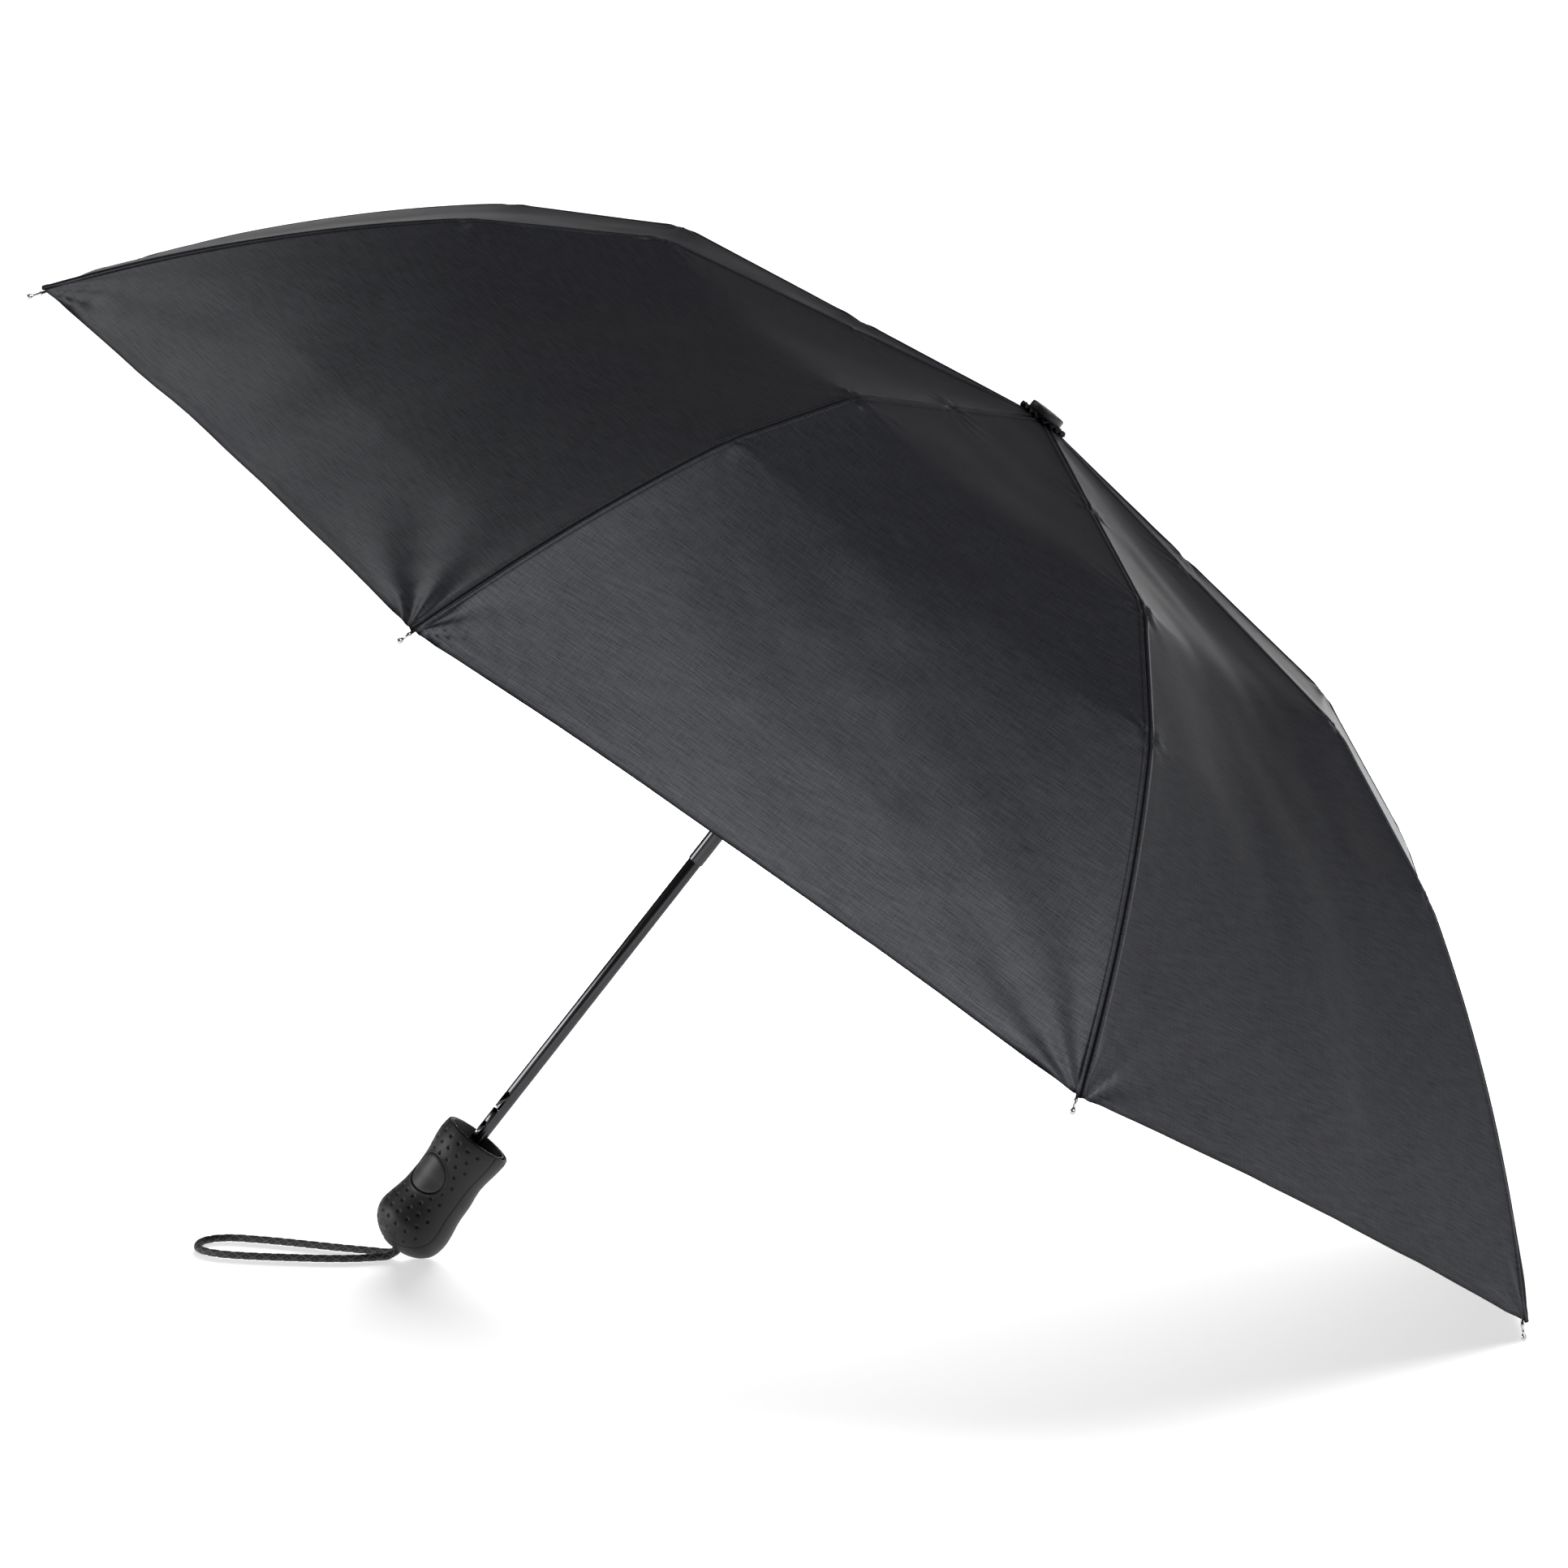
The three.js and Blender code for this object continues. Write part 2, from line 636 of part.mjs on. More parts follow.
function frontGrip() {
  return cut(gripShell().intersect(frontBlock(seam + GAP / 2, cavityEnd - 1)), buttonPrism(0.4, 8, 30));
}

function backGrip() {
  return cut(gripShell(), frontBlock(seam - GAP / 2, cavityEnd - 1 + GAP));
}

function tubePin(pinRadius, halfLength) {
  const geometry = new THREE.CylinderGeometry(pinRadius, pinRadius, 2 * halfLength, 14);
  geometry.translate(0, 0, RIM - tubePinDepth);
  return toSolid(geometry).rotate([0, 0, frontDegrees]);
}

function handleCore() {
  const cup = toSolid(turned([
    [0, RIM - CUP_DEPTH], [12.2, RIM - CUP_DEPTH], [12.5, RIM - 12.5], [15.2, RIM - 6], [15.6, RIM + 1],
    [0, RIM + 1],
  ], 24));
  const well = new THREE.CylinderGeometry(springWell.radius, springWell.radius, 6, 16);
  well.rotateZ(Math.PI / 2);
  well.translate(springWell.inside + 3, 0, RIM - BUTTON_DEPTH);
  return cut(
    gripBody(GRIP_WALL + GAP, -0.6, cavityEnd - GAP),
    cup,
    disc(LOWER_TUBE_RADIUS + GAP, lowerTubeEnd - GAP, RIM, 20),
    disc(6.8, RIM - cavityEnd, RIM - knotDepth + 4, 24),
    buttonPrism(0.7, pocketInside, 30),
    toSolid(well).rotate([0, 0, frontDegrees]),
    tubePin(tubePinRadius + GAP, 13),
  );
}

function button() {
  return buttonPrism(0, buttonInside, 25).intersect(gripBody(-0.35, 0, heelEnd));
}

function buttonSpring() {
  return coil(2.3, 0.35, springWell.inside + GAP, buttonInside - GAP, 4, 8, 4)
    .rotate([0, 90, 0])
    .translate([0, 0, RIM - BUTTON_DEPTH])
    .rotate([0, 0, frontDegrees]);
}

function cordHole(side) {
  return disc(CORD_DIAMETER / 2 + GAP, RIM - heelEnd - 1, RIM - cavityEnd + 1, 12)
    .translate([CORD_HOLE[0], side * CORD_HOLE[1], 0]);
}

function endCap() {
  const plug = disc(endCapRadius, RIM - heelEnd, RIM - cavityEnd - GAP, 24);
  return cut(plug, cordHole(-1), cordHole(1));
}

function cordKnot() {
  const geometry = new THREE.SphereGeometry(1, 10, 7);
  geometry.scale(2.8, 4.6, 2.6);
  geometry.translate(1, 0, RIM - knotDepth);
  return toSolid(geometry);
}

// ---- Wrist cord, on the floor --------------------------------------------------------------------
// From one hole of the end cap, round the loop and back into the other hole.
const CORD_ROUTE = [
  [-197.14, -3.6, 10.54], [-201.13, -3.6, 5.41], [-203.3, -3.9, 3.4], [-206, -4.6, 2.05], [-209, -5.8, 1.6],
  [-216, -8.6, 1.6], [-224, -10.9, 1.6], [-238, -11.6, 1.6], [-252, -10.2, 1.6], [-266, -8.4, 1.6],
  [-280, -5.7, 1.6], [-292, -1.5, 1.6], [-300.5, 5, 1.6], [-305.6, 14, 1.6], [-307, 24, 1.6],
  [-305.5, 34, 1.6], [-300, 41, 1.6], [-291, 43, 1.6], [-279, 39.3, 1.6], [-267, 34.5, 1.6],
  [-254, 28.3, 1.6], [-241, 21.8, 1.6], [-228, 15.6, 1.6], [-217, 10.9, 1.6], [-209, 7.2, 1.6],
  [-206, 5.3, 2.05], [-203.3, 4.1, 3.4], [-201.13, 3.6, 5.41], [-197.14, 3.6, 10.54],
];

function wristCord() {
  const points = CORD_ROUTE.map((point) => new THREE.Vector3(...point));
  return rod(new THREE.CatmullRomCurve3(points), CORD_DIAMETER / 2, 8, 66);
}

// ---- Assembly -----------------------------------------------------------------------------------
// A group turned about a hinge, at [radius, height]: a positive angle lifts its outer end.
function hinged(parent, [radius, height], lift) {
  const turning = new THREE.Group();
  turning.position.set(radius, 0, height);
  turning.rotation.y = -lift;
  const held = new THREE.Group();
  held.position.set(-radius, 0, -height);
  turning.add(held);
  parent.add(turning);
  return held;
}

// The stretcher turns so that it still points at its pin on the top rib.
function stretcherLift(rib) {
  const pin = along(CROWN_PIVOT, BEND_PIVOT, STRETCHER_REACH);
  const [before, after] = [pin, settled(pin, rib, false)]
    .map(([radius, height]) => Math.atan2(height - RUNNER_PIVOT[1], radius - RUNNER_PIVOT[0]));
  return after - before;
}

for (let rib = 0; rib < RIB_COUNT; rib += 1) {
  const spoke = new THREE.Group();
  spoke.rotation.z = spokeAngle(rib);
  umbrella.add(spoke);
  const inner = hinged(spoke, CROWN_PIVOT, ribGive(rib));
  const outer = hinged(inner, BEND_PIVOT, ribGive(rib));
  const number = rib + 1;
  place(inner, `top_rib_${number}`, topRib(), finishes.blackSteel());
  place(outer, `middle_rib_${number}`, middleRib(), finishes.blackSteel());
  place(outer, `outer_rib_${number}`, outerRib(), finishes.blackSteel());
  place(outer, `rib_tip_${number}`, ribTip(), finishes.steel());
  const strut = hinged(spoke, RUNNER_PIVOT, stretcherLift(rib));
  place(strut, `stretcher_${number}`, stretcher(), finishes.blackSteel());
}

place(umbrella, 'canopy', canopy(), finishes.fabric());
place(umbrella, 'cap', cap(), finishes.plastic());
place(umbrella, 'crown', crown(), finishes.plastic());
place(umbrella, 'crown_wire', pivotWire(CROWN_PIVOT, PIN_RADIUS), finishes.steel());
place(umbrella, 'runner', runner(), finishes.plastic());
place(umbrella, 'runner_wire', pivotWire(RUNNER_PIVOT, PIN_RADIUS), finishes.steel());
place(umbrella, 'upper_tube', upperTube(), finishes.blackSteel());
place(umbrella, 'lower_tube', lowerTube(), finishes.blackSteel());
place(umbrella, 'opening_spring', openingSpring(), finishes.steel());
place(umbrella, 'catch_leaf', catchLeaf(), finishes.steel());
place(umbrella, 'tube_pin', tubePin(tubePinRadius, 12), finishes.steel());
place(umbrella, 'grip_front', frontGrip(), finishes.softGrip());
place(umbrella, 'grip_back', backGrip(), finishes.softGrip());
place(umbrella, 'handle_core', handleCore(), finishes.plastic());
place(umbrella, 'end_cap', endCap(), finishes.plastic());
place(umbrella, 'button', button(), finishes.plastic());
place(umbrella, 'button_spring', buttonSpring(), finishes.steel());
place(umbrella, 'cord_knot', cordKnot(), finishes.cord());

// The origin lies on the floor, under the middle of the umbrella.
const model = new THREE.Group();
model.add(umbrella);
umbrella.updateMatrixWorld(true);
const room = new THREE.Box3().setFromObject(umbrella, true);
umbrella.position.x -= (room.min.x + room.max.x) / 2;
place(model, 'wrist_cord', wristCord(), finishes.cord());

export default model;
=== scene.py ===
"""Looks of the folding umbrella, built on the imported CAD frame. Metres, +Z up; shapes along the shaft
are worked out in millimetres in the shaft's own frame: X towards the floor's side, Z up the shaft."""

import json
import math

import bpy
import numpy as np
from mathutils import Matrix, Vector


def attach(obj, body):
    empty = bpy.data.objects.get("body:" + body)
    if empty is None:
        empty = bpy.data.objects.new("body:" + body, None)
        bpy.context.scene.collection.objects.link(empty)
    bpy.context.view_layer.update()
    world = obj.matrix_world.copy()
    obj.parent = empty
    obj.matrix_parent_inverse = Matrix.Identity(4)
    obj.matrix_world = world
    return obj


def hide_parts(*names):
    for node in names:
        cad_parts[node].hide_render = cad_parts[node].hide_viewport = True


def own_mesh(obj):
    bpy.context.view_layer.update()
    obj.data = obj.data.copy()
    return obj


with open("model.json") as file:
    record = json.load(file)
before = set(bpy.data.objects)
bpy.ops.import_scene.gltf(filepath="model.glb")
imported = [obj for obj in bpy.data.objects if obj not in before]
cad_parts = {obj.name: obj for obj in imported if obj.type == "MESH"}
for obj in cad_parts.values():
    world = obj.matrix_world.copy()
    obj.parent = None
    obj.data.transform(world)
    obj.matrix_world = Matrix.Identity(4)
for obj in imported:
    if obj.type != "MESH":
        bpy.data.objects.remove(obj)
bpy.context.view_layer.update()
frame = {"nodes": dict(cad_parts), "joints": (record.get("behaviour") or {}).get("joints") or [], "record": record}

MM = 0.001
RIBS = range(8)
scene = bpy.context.scene
nodes = frame["nodes"]
joints = {joint["name"]: joint for joint in frame["joints"]}

# ---- Camera --------------------------------------------------------------------------------------
AIM = Vector((-0.00507, 0, 0.24443))
CAMERA_DISTANCE = 3.3458
AZIMUTH, ELEVATION = math.radians(2.34), math.radians(6.737)

lens = bpy.data.cameras.new("camera")
lens.lens = 152.51
lens.sensor_width = 36
lens.clip_end = 60
camera = bpy.data.objects.new("camera", lens)
scene.collection.objects.link(camera)
back = Vector((
    math.sin(AZIMUTH) * math.cos(ELEVATION),
    -math.cos(AZIMUTH) * math.cos(ELEVATION),
    math.sin(ELEVATION),
))
camera.location = AIM + CAMERA_DISTANCE * back
camera.rotation_euler = (-back).to_track_quat("-Z", "Y").to_euler()
scene.camera = camera
scene.view_settings.view_transform = "Standard"

# ---- The shaft's frame ---------------------------------------------------------------------------
CROWN_HEIGHT = 210  # the ribs' crown pivots, above the plane of the tips
up = -np.array(joints["shaft_telescope"]["axis"], float)
floorward = np.cross((0, 1, 0), up)
axes = np.stack([floorward, (0, 1, 0), up])
crown = np.mean([joints[f"top_rib_{rib + 1}_hinge"]["pos_m"] for rib in RIBS], axis=0)
origin = crown - CROWN_HEIGHT * MM * up


def to_world(local):
    """Points of the shaft's frame, in millimetres, as points of the row frame, in metres."""
    return origin + MM * np.asarray(local, float) @ axes


def to_local(world):
    """Points of the row frame, in metres, as points of the shaft's frame, in millimetres."""
    return (np.asarray(world, float) - origin) @ axes.T / MM


def smoothstep(low, high, value):
    """0 below low and 1 above high, with an even turn between them."""
    share = np.clip((value - low) / (high - low), 0, 1)
    return share * share * (3 - 2 * share)


def bell(value, width):
    """1 at 0, and near 0 at twice this width."""
    return np.exp(-(value / width) ** 2)


def spline(stops, count):
    """Points along a smooth line through the stops, evenly spread over its legs."""
    stops = np.asarray(stops, float)
    padded = np.concatenate([[2 * stops[0] - stops[1]], stops, [2 * stops[-1] - stops[-2]]])
    places = np.linspace(0, len(stops) - 1, count)
    leg = np.minimum(places.astype(int), len(stops) - 2)
    t = (places - leg)[:, None]
    before, start, end, after = (padded[leg + step] for step in range(4))
    return 0.5 * (
        2 * start
        + (end - before) * t
        + (2 * before - 5 * start + 4 * end - after) * t**2
        + (3 * start - before - 3 * end + after) * t**3
    )


# ---- Meshes --------------------------------------------------------------------------------------
def grid_faces(rows, columns, wrap):
    """Quads over a grid of points; wrap joins the last column to the first."""
    row, column = np.meshgrid(
        np.arange(rows - 1), np.arange(columns if wrap else columns - 1), indexing="ij"
    )
    here = row * columns + column
    beside = row * columns + (column + 1) % columns
    quads = np.stack([here, here + columns, beside + columns, beside], axis=-1)
    return quads.reshape(-1, 4)


def add_piece(name, points, faces, material, body):
    """A smooth mesh in the row frame that rides on a CAD body."""
    mesh = bpy.data.meshes.new(name)
    mesh.from_pydata(np.asarray(points).reshape(-1, 3).tolist(), [], np.asarray(faces).tolist())
    mesh.polygons.foreach_set("use_smooth", [True] * len(mesh.polygons))
    mesh.materials.append(material)
    piece = bpy.data.objects.new(name, mesh)
    scene.collection.objects.link(piece)
    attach(piece, body)
    return piece


def add_values(piece, name, values):
    attribute = piece.data.attributes.new(name, "FLOAT", "POINT")
    attribute.data.foreach_set("value", np.asarray(values, np.float32).reshape(-1))


def lathe(name, profile, segments, material, body):
    """A surface turned about the shaft from [radius, height] pairs, from the top down."""
    angle = np.linspace(0, 2 * math.pi, segments, endpoint=False)
    radius, height = (np.asarray(profile, float)[:, i, None] for i in range(2))
    points = np.stack(
        [radius * np.cos(angle), radius * np.sin(angle), height + 0 * angle], axis=-1
    )
    faces = grid_faces(len(profile), segments, True)
    return add_piece(name, to_world(points), faces, material, body)


# ---- Materials -----------------------------------------------------------------------------------
class Shader:
    """A material whose colour, roughness and relief come from nodes."""

    def __init__(self, name, metallic=0.0, specular=0.5):
        self.material = bpy.data.materials.new(name)
        self.material.use_nodes = True
        self.tree = self.material.node_tree
        self.surface = self.tree.nodes["Principled BSDF"]
        self.surface.inputs["Metallic"].default_value = metallic
        self.surface.inputs["Specular IOR Level"].default_value = specular

    def node(self, kind, inputs=(), **settings):
        made = self.tree.nodes.new("ShaderNode" + kind)
        for key, value in settings.items():
            setattr(made, key, value)
        for key, value in dict(inputs).items():
            if isinstance(value, bpy.types.NodeSocket):
                self.tree.links.new(value, made.inputs[key])
            else:
                made.inputs[key].default_value = value
        return made

    def scaled(self, value, factor):
        return self.math("MULTIPLY", value, factor)

    def math(self, operation, *values):
        return self.node("Math", dict(enumerate(values)), operation=operation).outputs[0]

    def stretched(self, source, scale):
        """Long streaks. The turn keeps the noise's own grid from lining up with them."""
        turn = (0, 0, 0.6)
        mapping = self.node("Mapping", {"Vector": source, "Scale": scale, "Rotation": turn})
        return mapping.outputs["Vector"]

    def noise(self, source, scale, detail):
        made = self.node("TexNoise", {"Vector": source, "Scale": scale, "Detail": detail})
        return made.outputs["Fac"]

    def between(self, share, low, high):
        """A number that goes from low to high as share goes from 0 to 1."""
        made = self.node("MapRange", {"Value": share, "To Min": low, "To Max": high})
        return made.outputs["Result"]

    def value(self, name):
        return self.node("Attribute", attribute_name=name).outputs["Fac"]

    def point(self):
        return self.node("TexCoord").outputs["Object"]

    def tinted(self, share, dark, light):
        """A colour between two, by share."""
        ramp = self.node("ValToRGB", {"Fac": share})
        for element, colour in zip(ramp.color_ramp.elements, (dark, light)):
            element.color = (*colour, 1)
        return ramp.outputs["Color"]

    def finish(self, colour, roughness, relief, depth):
        """Links the shader's own sockets. depth is the height of the relief, in metres."""
        links = self.tree.links
        links.new(colour, self.surface.inputs["Base Color"])
        links.new(roughness, self.surface.inputs["Roughness"])
        bump = self.node("Bump", {"Height": relief, "Distance": depth})
        links.new(bump.outputs["Normal"], self.surface.inputs["Normal"])
        return self.material


def fabric_material():
    """Black polyester: threads of uneven tone, with painted shade along the seams and at the very hem."""
    shader = Shader("canopy_fabric")
    shader.surface.inputs["Specular Tint"].default_value = (0.9, 0.93, 1, 1)
    shader.surface.inputs["Sheen Weight"].default_value = 0.07
    shader.surface.inputs["Sheen Roughness"].default_value = 0.25
    cloth = shader.node("UVMap", uv_map="cloth").outputs["UV"]
    warp = shader.noise(shader.stretched(cloth, (1, 0.04, 1)), 1900, 2)
    weft = shader.noise(shader.stretched(cloth, (0.05, 1, 1)), 1500, 2)
    mottle = shader.noise(cloth, 900, 3)
    drift = shader.noise(cloth, 9, 2)
    threads = shader.math("ADD", shader.scaled(warp, 0.25), shader.scaled(weft, 0.55))
    grain = shader.math("ADD", threads, shader.scaled(mottle, 0.2))
    slow_change = shader.scaled(shader.math("SUBTRACT", drift, 0.5), 0.12)
    tone = shader.math("ADD", grain, slow_change)
    # Painted shade of the seams and the hem darkens both the colour and the gloss.
    painted_shade = shader.value("painted_shade")
    shade = shader.scaled(shader.between(tone, -0.2, 1.2), painted_shade)
    colour = shader.tinted(shade, (0.003, 0.003, 0.004), (0.0205, 0.021, 0.028))
    roughness = shader.between(grain, 0.32, 0.5)
    gloss = shader.scaled(shader.between(tone, -0.25, 1.2), painted_shade)
    shader.tree.links.new(gloss, shader.surface.inputs["Specular IOR Level"])
    return shader.finish(colour, roughness, grain, 0.00007)


def rubber_material():
    """Soft-touch grip: fine matt grain, with painted shade in the pits, the seam and round the button."""
    shader = Shader("soft_grip", specular=0.42)
    place = shader.point()
    grain = shader.noise(place, 5200, 2)
    patches = shader.noise(place, 90, 3)
    # The open attribute paints shade into the pits, the seam, the button's hole and the rim.
    shade = shader.scaled(shader.between(patches, 0.35, 0.75), shader.value("open"))
    colour = shader.tinted(shade, (0.003, 0.003, 0.003), (0.019, 0.019, 0.0195))
    roughness = shader.between(grain, 0.42, 0.58)
    return shader.finish(colour, roughness, grain, 0.00003)


def plastic_material(name, dark, light, smooth, rough):
    """Moulded plastic: a faint grain and slow changes of tone."""
    shader = Shader(name, specular=0.45)
    place = shader.point()
    grain = shader.noise(place, 3000, 2)
    patches = shader.noise(place, 120, 2)
    colour = shader.tinted(patches, dark, light)
    return shader.finish(colour, shader.between(grain, smooth, rough), grain, 0.00002)


def metal_material(name, dark, light, smooth, rough, along=(1, 1, 1)):
    """Plated steel: fine drawing lines along the piece and faint cloudy tarnish."""
    shader = Shader(name, metallic=1.0)
    place = shader.point()
    lines = shader.noise(shader.stretched(place, along), 2600, 2)
    clouds = shader.noise(place, 70, 3)
    colour = shader.tinted(clouds, dark, light)
    return shader.finish(colour, shader.between(lines, smooth, rough), lines, 0.000004)


def braid_material():
    """Braided cord: painted light on the raised strands and painted shade in the valleys between them."""
    shader = Shader("cord_braid", specular=0.4)
    strand = shader.value("strand")
    fuzz = shader.noise(shader.point(), 4000, 2)
    share = shader.scaled(strand, shader.between(fuzz, 0.5, 1.3))
    colour = shader.tinted(share, (0.004, 0.004, 0.004), (0.1, 0.1, 0.103))
    return shader.finish(colour, shader.between(fuzz, 0.45, 0.7), fuzz, 0.00006)


fabric = fabric_material()
rubber = rubber_material()
plastic = plastic_material("black_plastic", (0.006, 0.006, 0.006), (0.016, 0.016, 0.017), 0.32, 0.5)
button_plastic = plastic_material(
    "button_plastic", (0.026, 0.026, 0.027), (0.036, 0.036, 0.037), 0.42, 0.54
)
gunmetal = metal_material("black_steel", (0.055, 0.055, 0.058), (0.09, 0.09, 0.095), 0.16, 0.28)
bright = metal_material("bright_steel", (0.55, 0.55, 0.56), (0.75, 0.75, 0.76), 0.12, 0.28)
braid = braid_material()

# ---- Wrist cord ----------------------------------------------------------------------------------
CORD_DIAMETER = 0.0039
CORD_LIFT = 0.0005  # the braid is fuller than the cord's core, so it lies a little higher
CORD_ROUTE = [
    (-0.19714, -0.0036, 0.01054), (-0.20113, -0.0036, 0.00541), (-0.2033, -0.0039, 0.0034),
    (-0.206, -0.0046, 0.00205), (-0.209, -0.0058, 0.0016), (-0.216, -0.0086, 0.0016),
    (-0.224, -0.0109, 0.0016), (-0.238, -0.0116, 0.0016), (-0.252, -0.0102, 0.0016),
    (-0.266, -0.0084, 0.0016), (-0.28, -0.0057, 0.0016), (-0.292, -0.0015, 0.0016),
    (-0.3005, 0.005, 0.0016), (-0.3056, 0.014, 0.0016), (-0.307, 0.024, 0.0016),
    (-0.3055, 0.034, 0.0016), (-0.3, 0.041, 0.0016), (-0.291, 0.043, 0.0016),
    (-0.279, 0.0393, 0.0016), (-0.267, 0.0345, 0.0016), (-0.254, 0.0283, 0.0016),
    (-0.241, 0.0218, 0.0016), (-0.228, 0.0156, 0.0016), (-0.217, 0.0109, 0.0016),
    (-0.209, 0.0072, 0.0016), (-0.206, 0.0053, 0.00205), (-0.2033, 0.0041, 0.0034),
    (-0.20113, 0.0036, 0.00541), (-0.19714, 0.0036, 0.01054),
]
CORD_SIDES = 32
CORD_STEP = 0.0003
CORD_SAMPLES = 3000  # of the smooth line through the route, before it is divided evenly
BRAID_PITCH = 0.0036  # from one strand to the next, along the cord
BRAID_STRANDS = 6
BRAID_RELIEF = 0.16  # depth of the valleys, as a share of the radius


def even_line(points, step):
    """The same line with its points this step apart, and the distance of each along it."""
    lengths = np.linalg.norm(np.diff(points, axis=0), axis=1)
    reach = np.concatenate([[0], np.cumsum(lengths)])
    stations = np.linspace(0, reach[-1], int(reach[-1] / step) + 1)
    line = np.stack([np.interp(stations, reach, points[:, axis]) for axis in range(3)], axis=1)
    return line, stations


def make_cord():
    """A round cord of strands that pass over and under each other in both directions."""
    line, reach = even_line(spline(CORD_ROUTE, CORD_SAMPLES), CORD_STEP)
    line[:, 2] += CORD_LIFT
    forward = np.gradient(line, axis=0)
    forward /= np.linalg.norm(forward, axis=1, keepdims=True)
    across = np.cross(forward, (0, 0, 1))
    across /= np.linalg.norm(across, axis=1, keepdims=True)
    over = np.cross(across, forward)
    angle = np.linspace(0, 2 * math.pi, CORD_SIDES, endpoint=False)
    turn = 2 * math.pi * reach[:, None] / BRAID_PITCH
    right = np.cos(BRAID_STRANDS * (angle - turn / BRAID_STRANDS))
    left = np.cos(BRAID_STRANDS * (angle + turn / BRAID_STRANDS))
    over_under = np.sign(np.sin(BRAID_STRANDS * angle / 2) * np.sin(turn / 2))
    strand = np.clip(0.5 + 0.5 * np.where(over_under > 0, right, left), 0, 1)
    radius = CORD_DIAMETER / 2 * (1 - BRAID_RELIEF * (1 - strand))
    points = (
        line[:, None]
        + (radius * np.cos(angle))[..., None] * across[:, None]
        + (radius * np.sin(angle))[..., None] * over[:, None]
    )
    faces = grid_faces(len(line), CORD_SIDES, True)
    cord = add_piece("wrist_cord_braid", points, faces, braid, "handle")
    # strand also sets the braid's painted light and shade in its material.
    add_values(cord, "strand", strand)
    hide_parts("wrist_cord")


make_cord()

# ---- Canopy --------------------------------------------------------------------------------------
RIDGE_START = (3.4, 218.3)  # [distance from the shaft, height] in a rib's plane
RIDGE_CROWN = (12, 217.3)
RIDGE_LIFT = 3.9  # how high the ridge lies over a rib's pivots
OUTER_BOW = 6.5
TIP_BACK, TIP_LIFT = 6.5, 3.5  # where the ridge ends, from the centre of the ball on the tip
BALL_RADIUS = 1.4
HEM_HOLLOW = 3.5  # how far the hem curves in between two tips
PANEL_HOLLOW = 5  # how far a panel's middle lies inside the chord between two ridges
CORNER_SPREAD = 15  # over how far the ridge's corners are rounded in the middle of a panel
RIDGE_SHARE = 0.3  # of a panel's width, over which the ridge's corners fade into the rounded ones
SEAM_BAND = 3.4  # width of the sewn band on each side of a ridge
BAND_HEIGHT, VALLEY_DEPTH = 0.4, 0.9  # of the band, and of the valley along the ridge
HEM_WIDTH = 6.2
TIE_DOWN = 99  # where the cloth is sewn to a top rib, from the crown
TIP_PULL = 4  # how far beyond the hem the wrinkles at a tip meet
CREASES = (-0.3, 0.27)  # places of the long creases, as shares of a panel's width
ROW_STEP = 2.3
HALF_COLUMNS = 22
SEAM_COLUMNS = [0, 0.35, 0.8, 1.3, 2, 2.7, 3.3, 4, 5.2, 7, 9.5, 13, 18, 25]  # from the ridge
TURNED_ROWS = (  # [how far inward, how far out, distance along the cloth past the hem's edge]
    (-0.15, -0.5, 0.5),
    (0.5, -1.0, 1.5),
    (6, -0.9, 7),
)
CENTRE_ROWS = 6  # rows of the canopy's middle piece, which stays on the crown

rng = np.random.default_rng(7)


def unit(vector):
    return vector / np.linalg.norm(vector)


def outward(leg):
    """The normal of a leg of the ridge, away from the shaft and up."""
    along = unit(leg)
    return np.array([-along[1], along[0]])


def rib_angle(rib):
    x, y, _ = to_local(joints[f"top_rib_{rib + 1}_hinge"]["pos_m"])
    return math.atan2(y, x)


def in_rib_plane(rib, points):
    """[distance from the shaft, height] of points near a rib's plane."""
    local = to_local(points)
    angle = rib_angle(rib)
    away = local[..., 0] * math.cos(angle) + local[..., 1] * math.sin(angle)
    return np.stack([away, local[..., 2]], axis=-1)


def hinge_in_plane(kind, rib):
    return in_rib_plane(rib, joints[f"{kind}_rib_{rib + 1}_hinge"]["pos_m"])


def tip_centre(rib):
    """The centre of the ball on a rib's tip, from the farthest corner of its CAD piece."""
    vertices = np.array([vertex.co for vertex in nodes[f"rib_tip_{rib + 1}"].data.vertices])
    flat = in_rib_plane(rib, vertices)
    farthest = flat[np.argmax(flat[:, 0])]
    return farthest - (BALL_RADIUS, 0)


def ridge_stops(rib):
    """The ends of the ridge's four legs: over the shaft, the crown, the two bends and the tip."""
    crown_pivot, bend, step = (hinge_in_plane(kind, rib) for kind in ("top", "middle", "outer"))
    tip = tip_centre(rib)
    out_top, out_middle, out_outer = (
        outward(leg) for leg in (bend - crown_pivot, step - bend, tip - step)
    )
    at_bend = bend + RIDGE_LIFT * unit(out_top + out_middle)
    at_step = step + RIDGE_LIFT * unit(out_middle + out_outer)
    end = tip - TIP_BACK * unit(tip - step) + TIP_LIFT * out_outer
    return np.array([RIDGE_START, RIDGE_CROWN, at_bend, at_step, end])


leg_lengths = np.linalg.norm(np.diff(ridge_stops(0), axis=0), axis=1)
stations = np.concatenate([[0], np.cumsum(leg_lengths)])  # distances of the stops down a ridge
ridge_length = stations[-1]
fine = np.linspace(0, ridge_length, int(ridge_length) + 1)


def ridge_line(rib):
    """The ridge over a rib, at the fine distances: straight legs, then a bow over the outer rib."""
    stops = ridge_stops(rib)
    line = np.stack([np.interp(fine, stations, stops[:, axis]) for axis in range(2)], axis=1)
    local = np.clip((fine - stations[3]) / (stations[4] - stations[3]), 0, 1)
    bow = 4 * OUTER_BOW * local * (1 - local)
    return line + bow[:, None] * outward(stops[4] - stops[3])


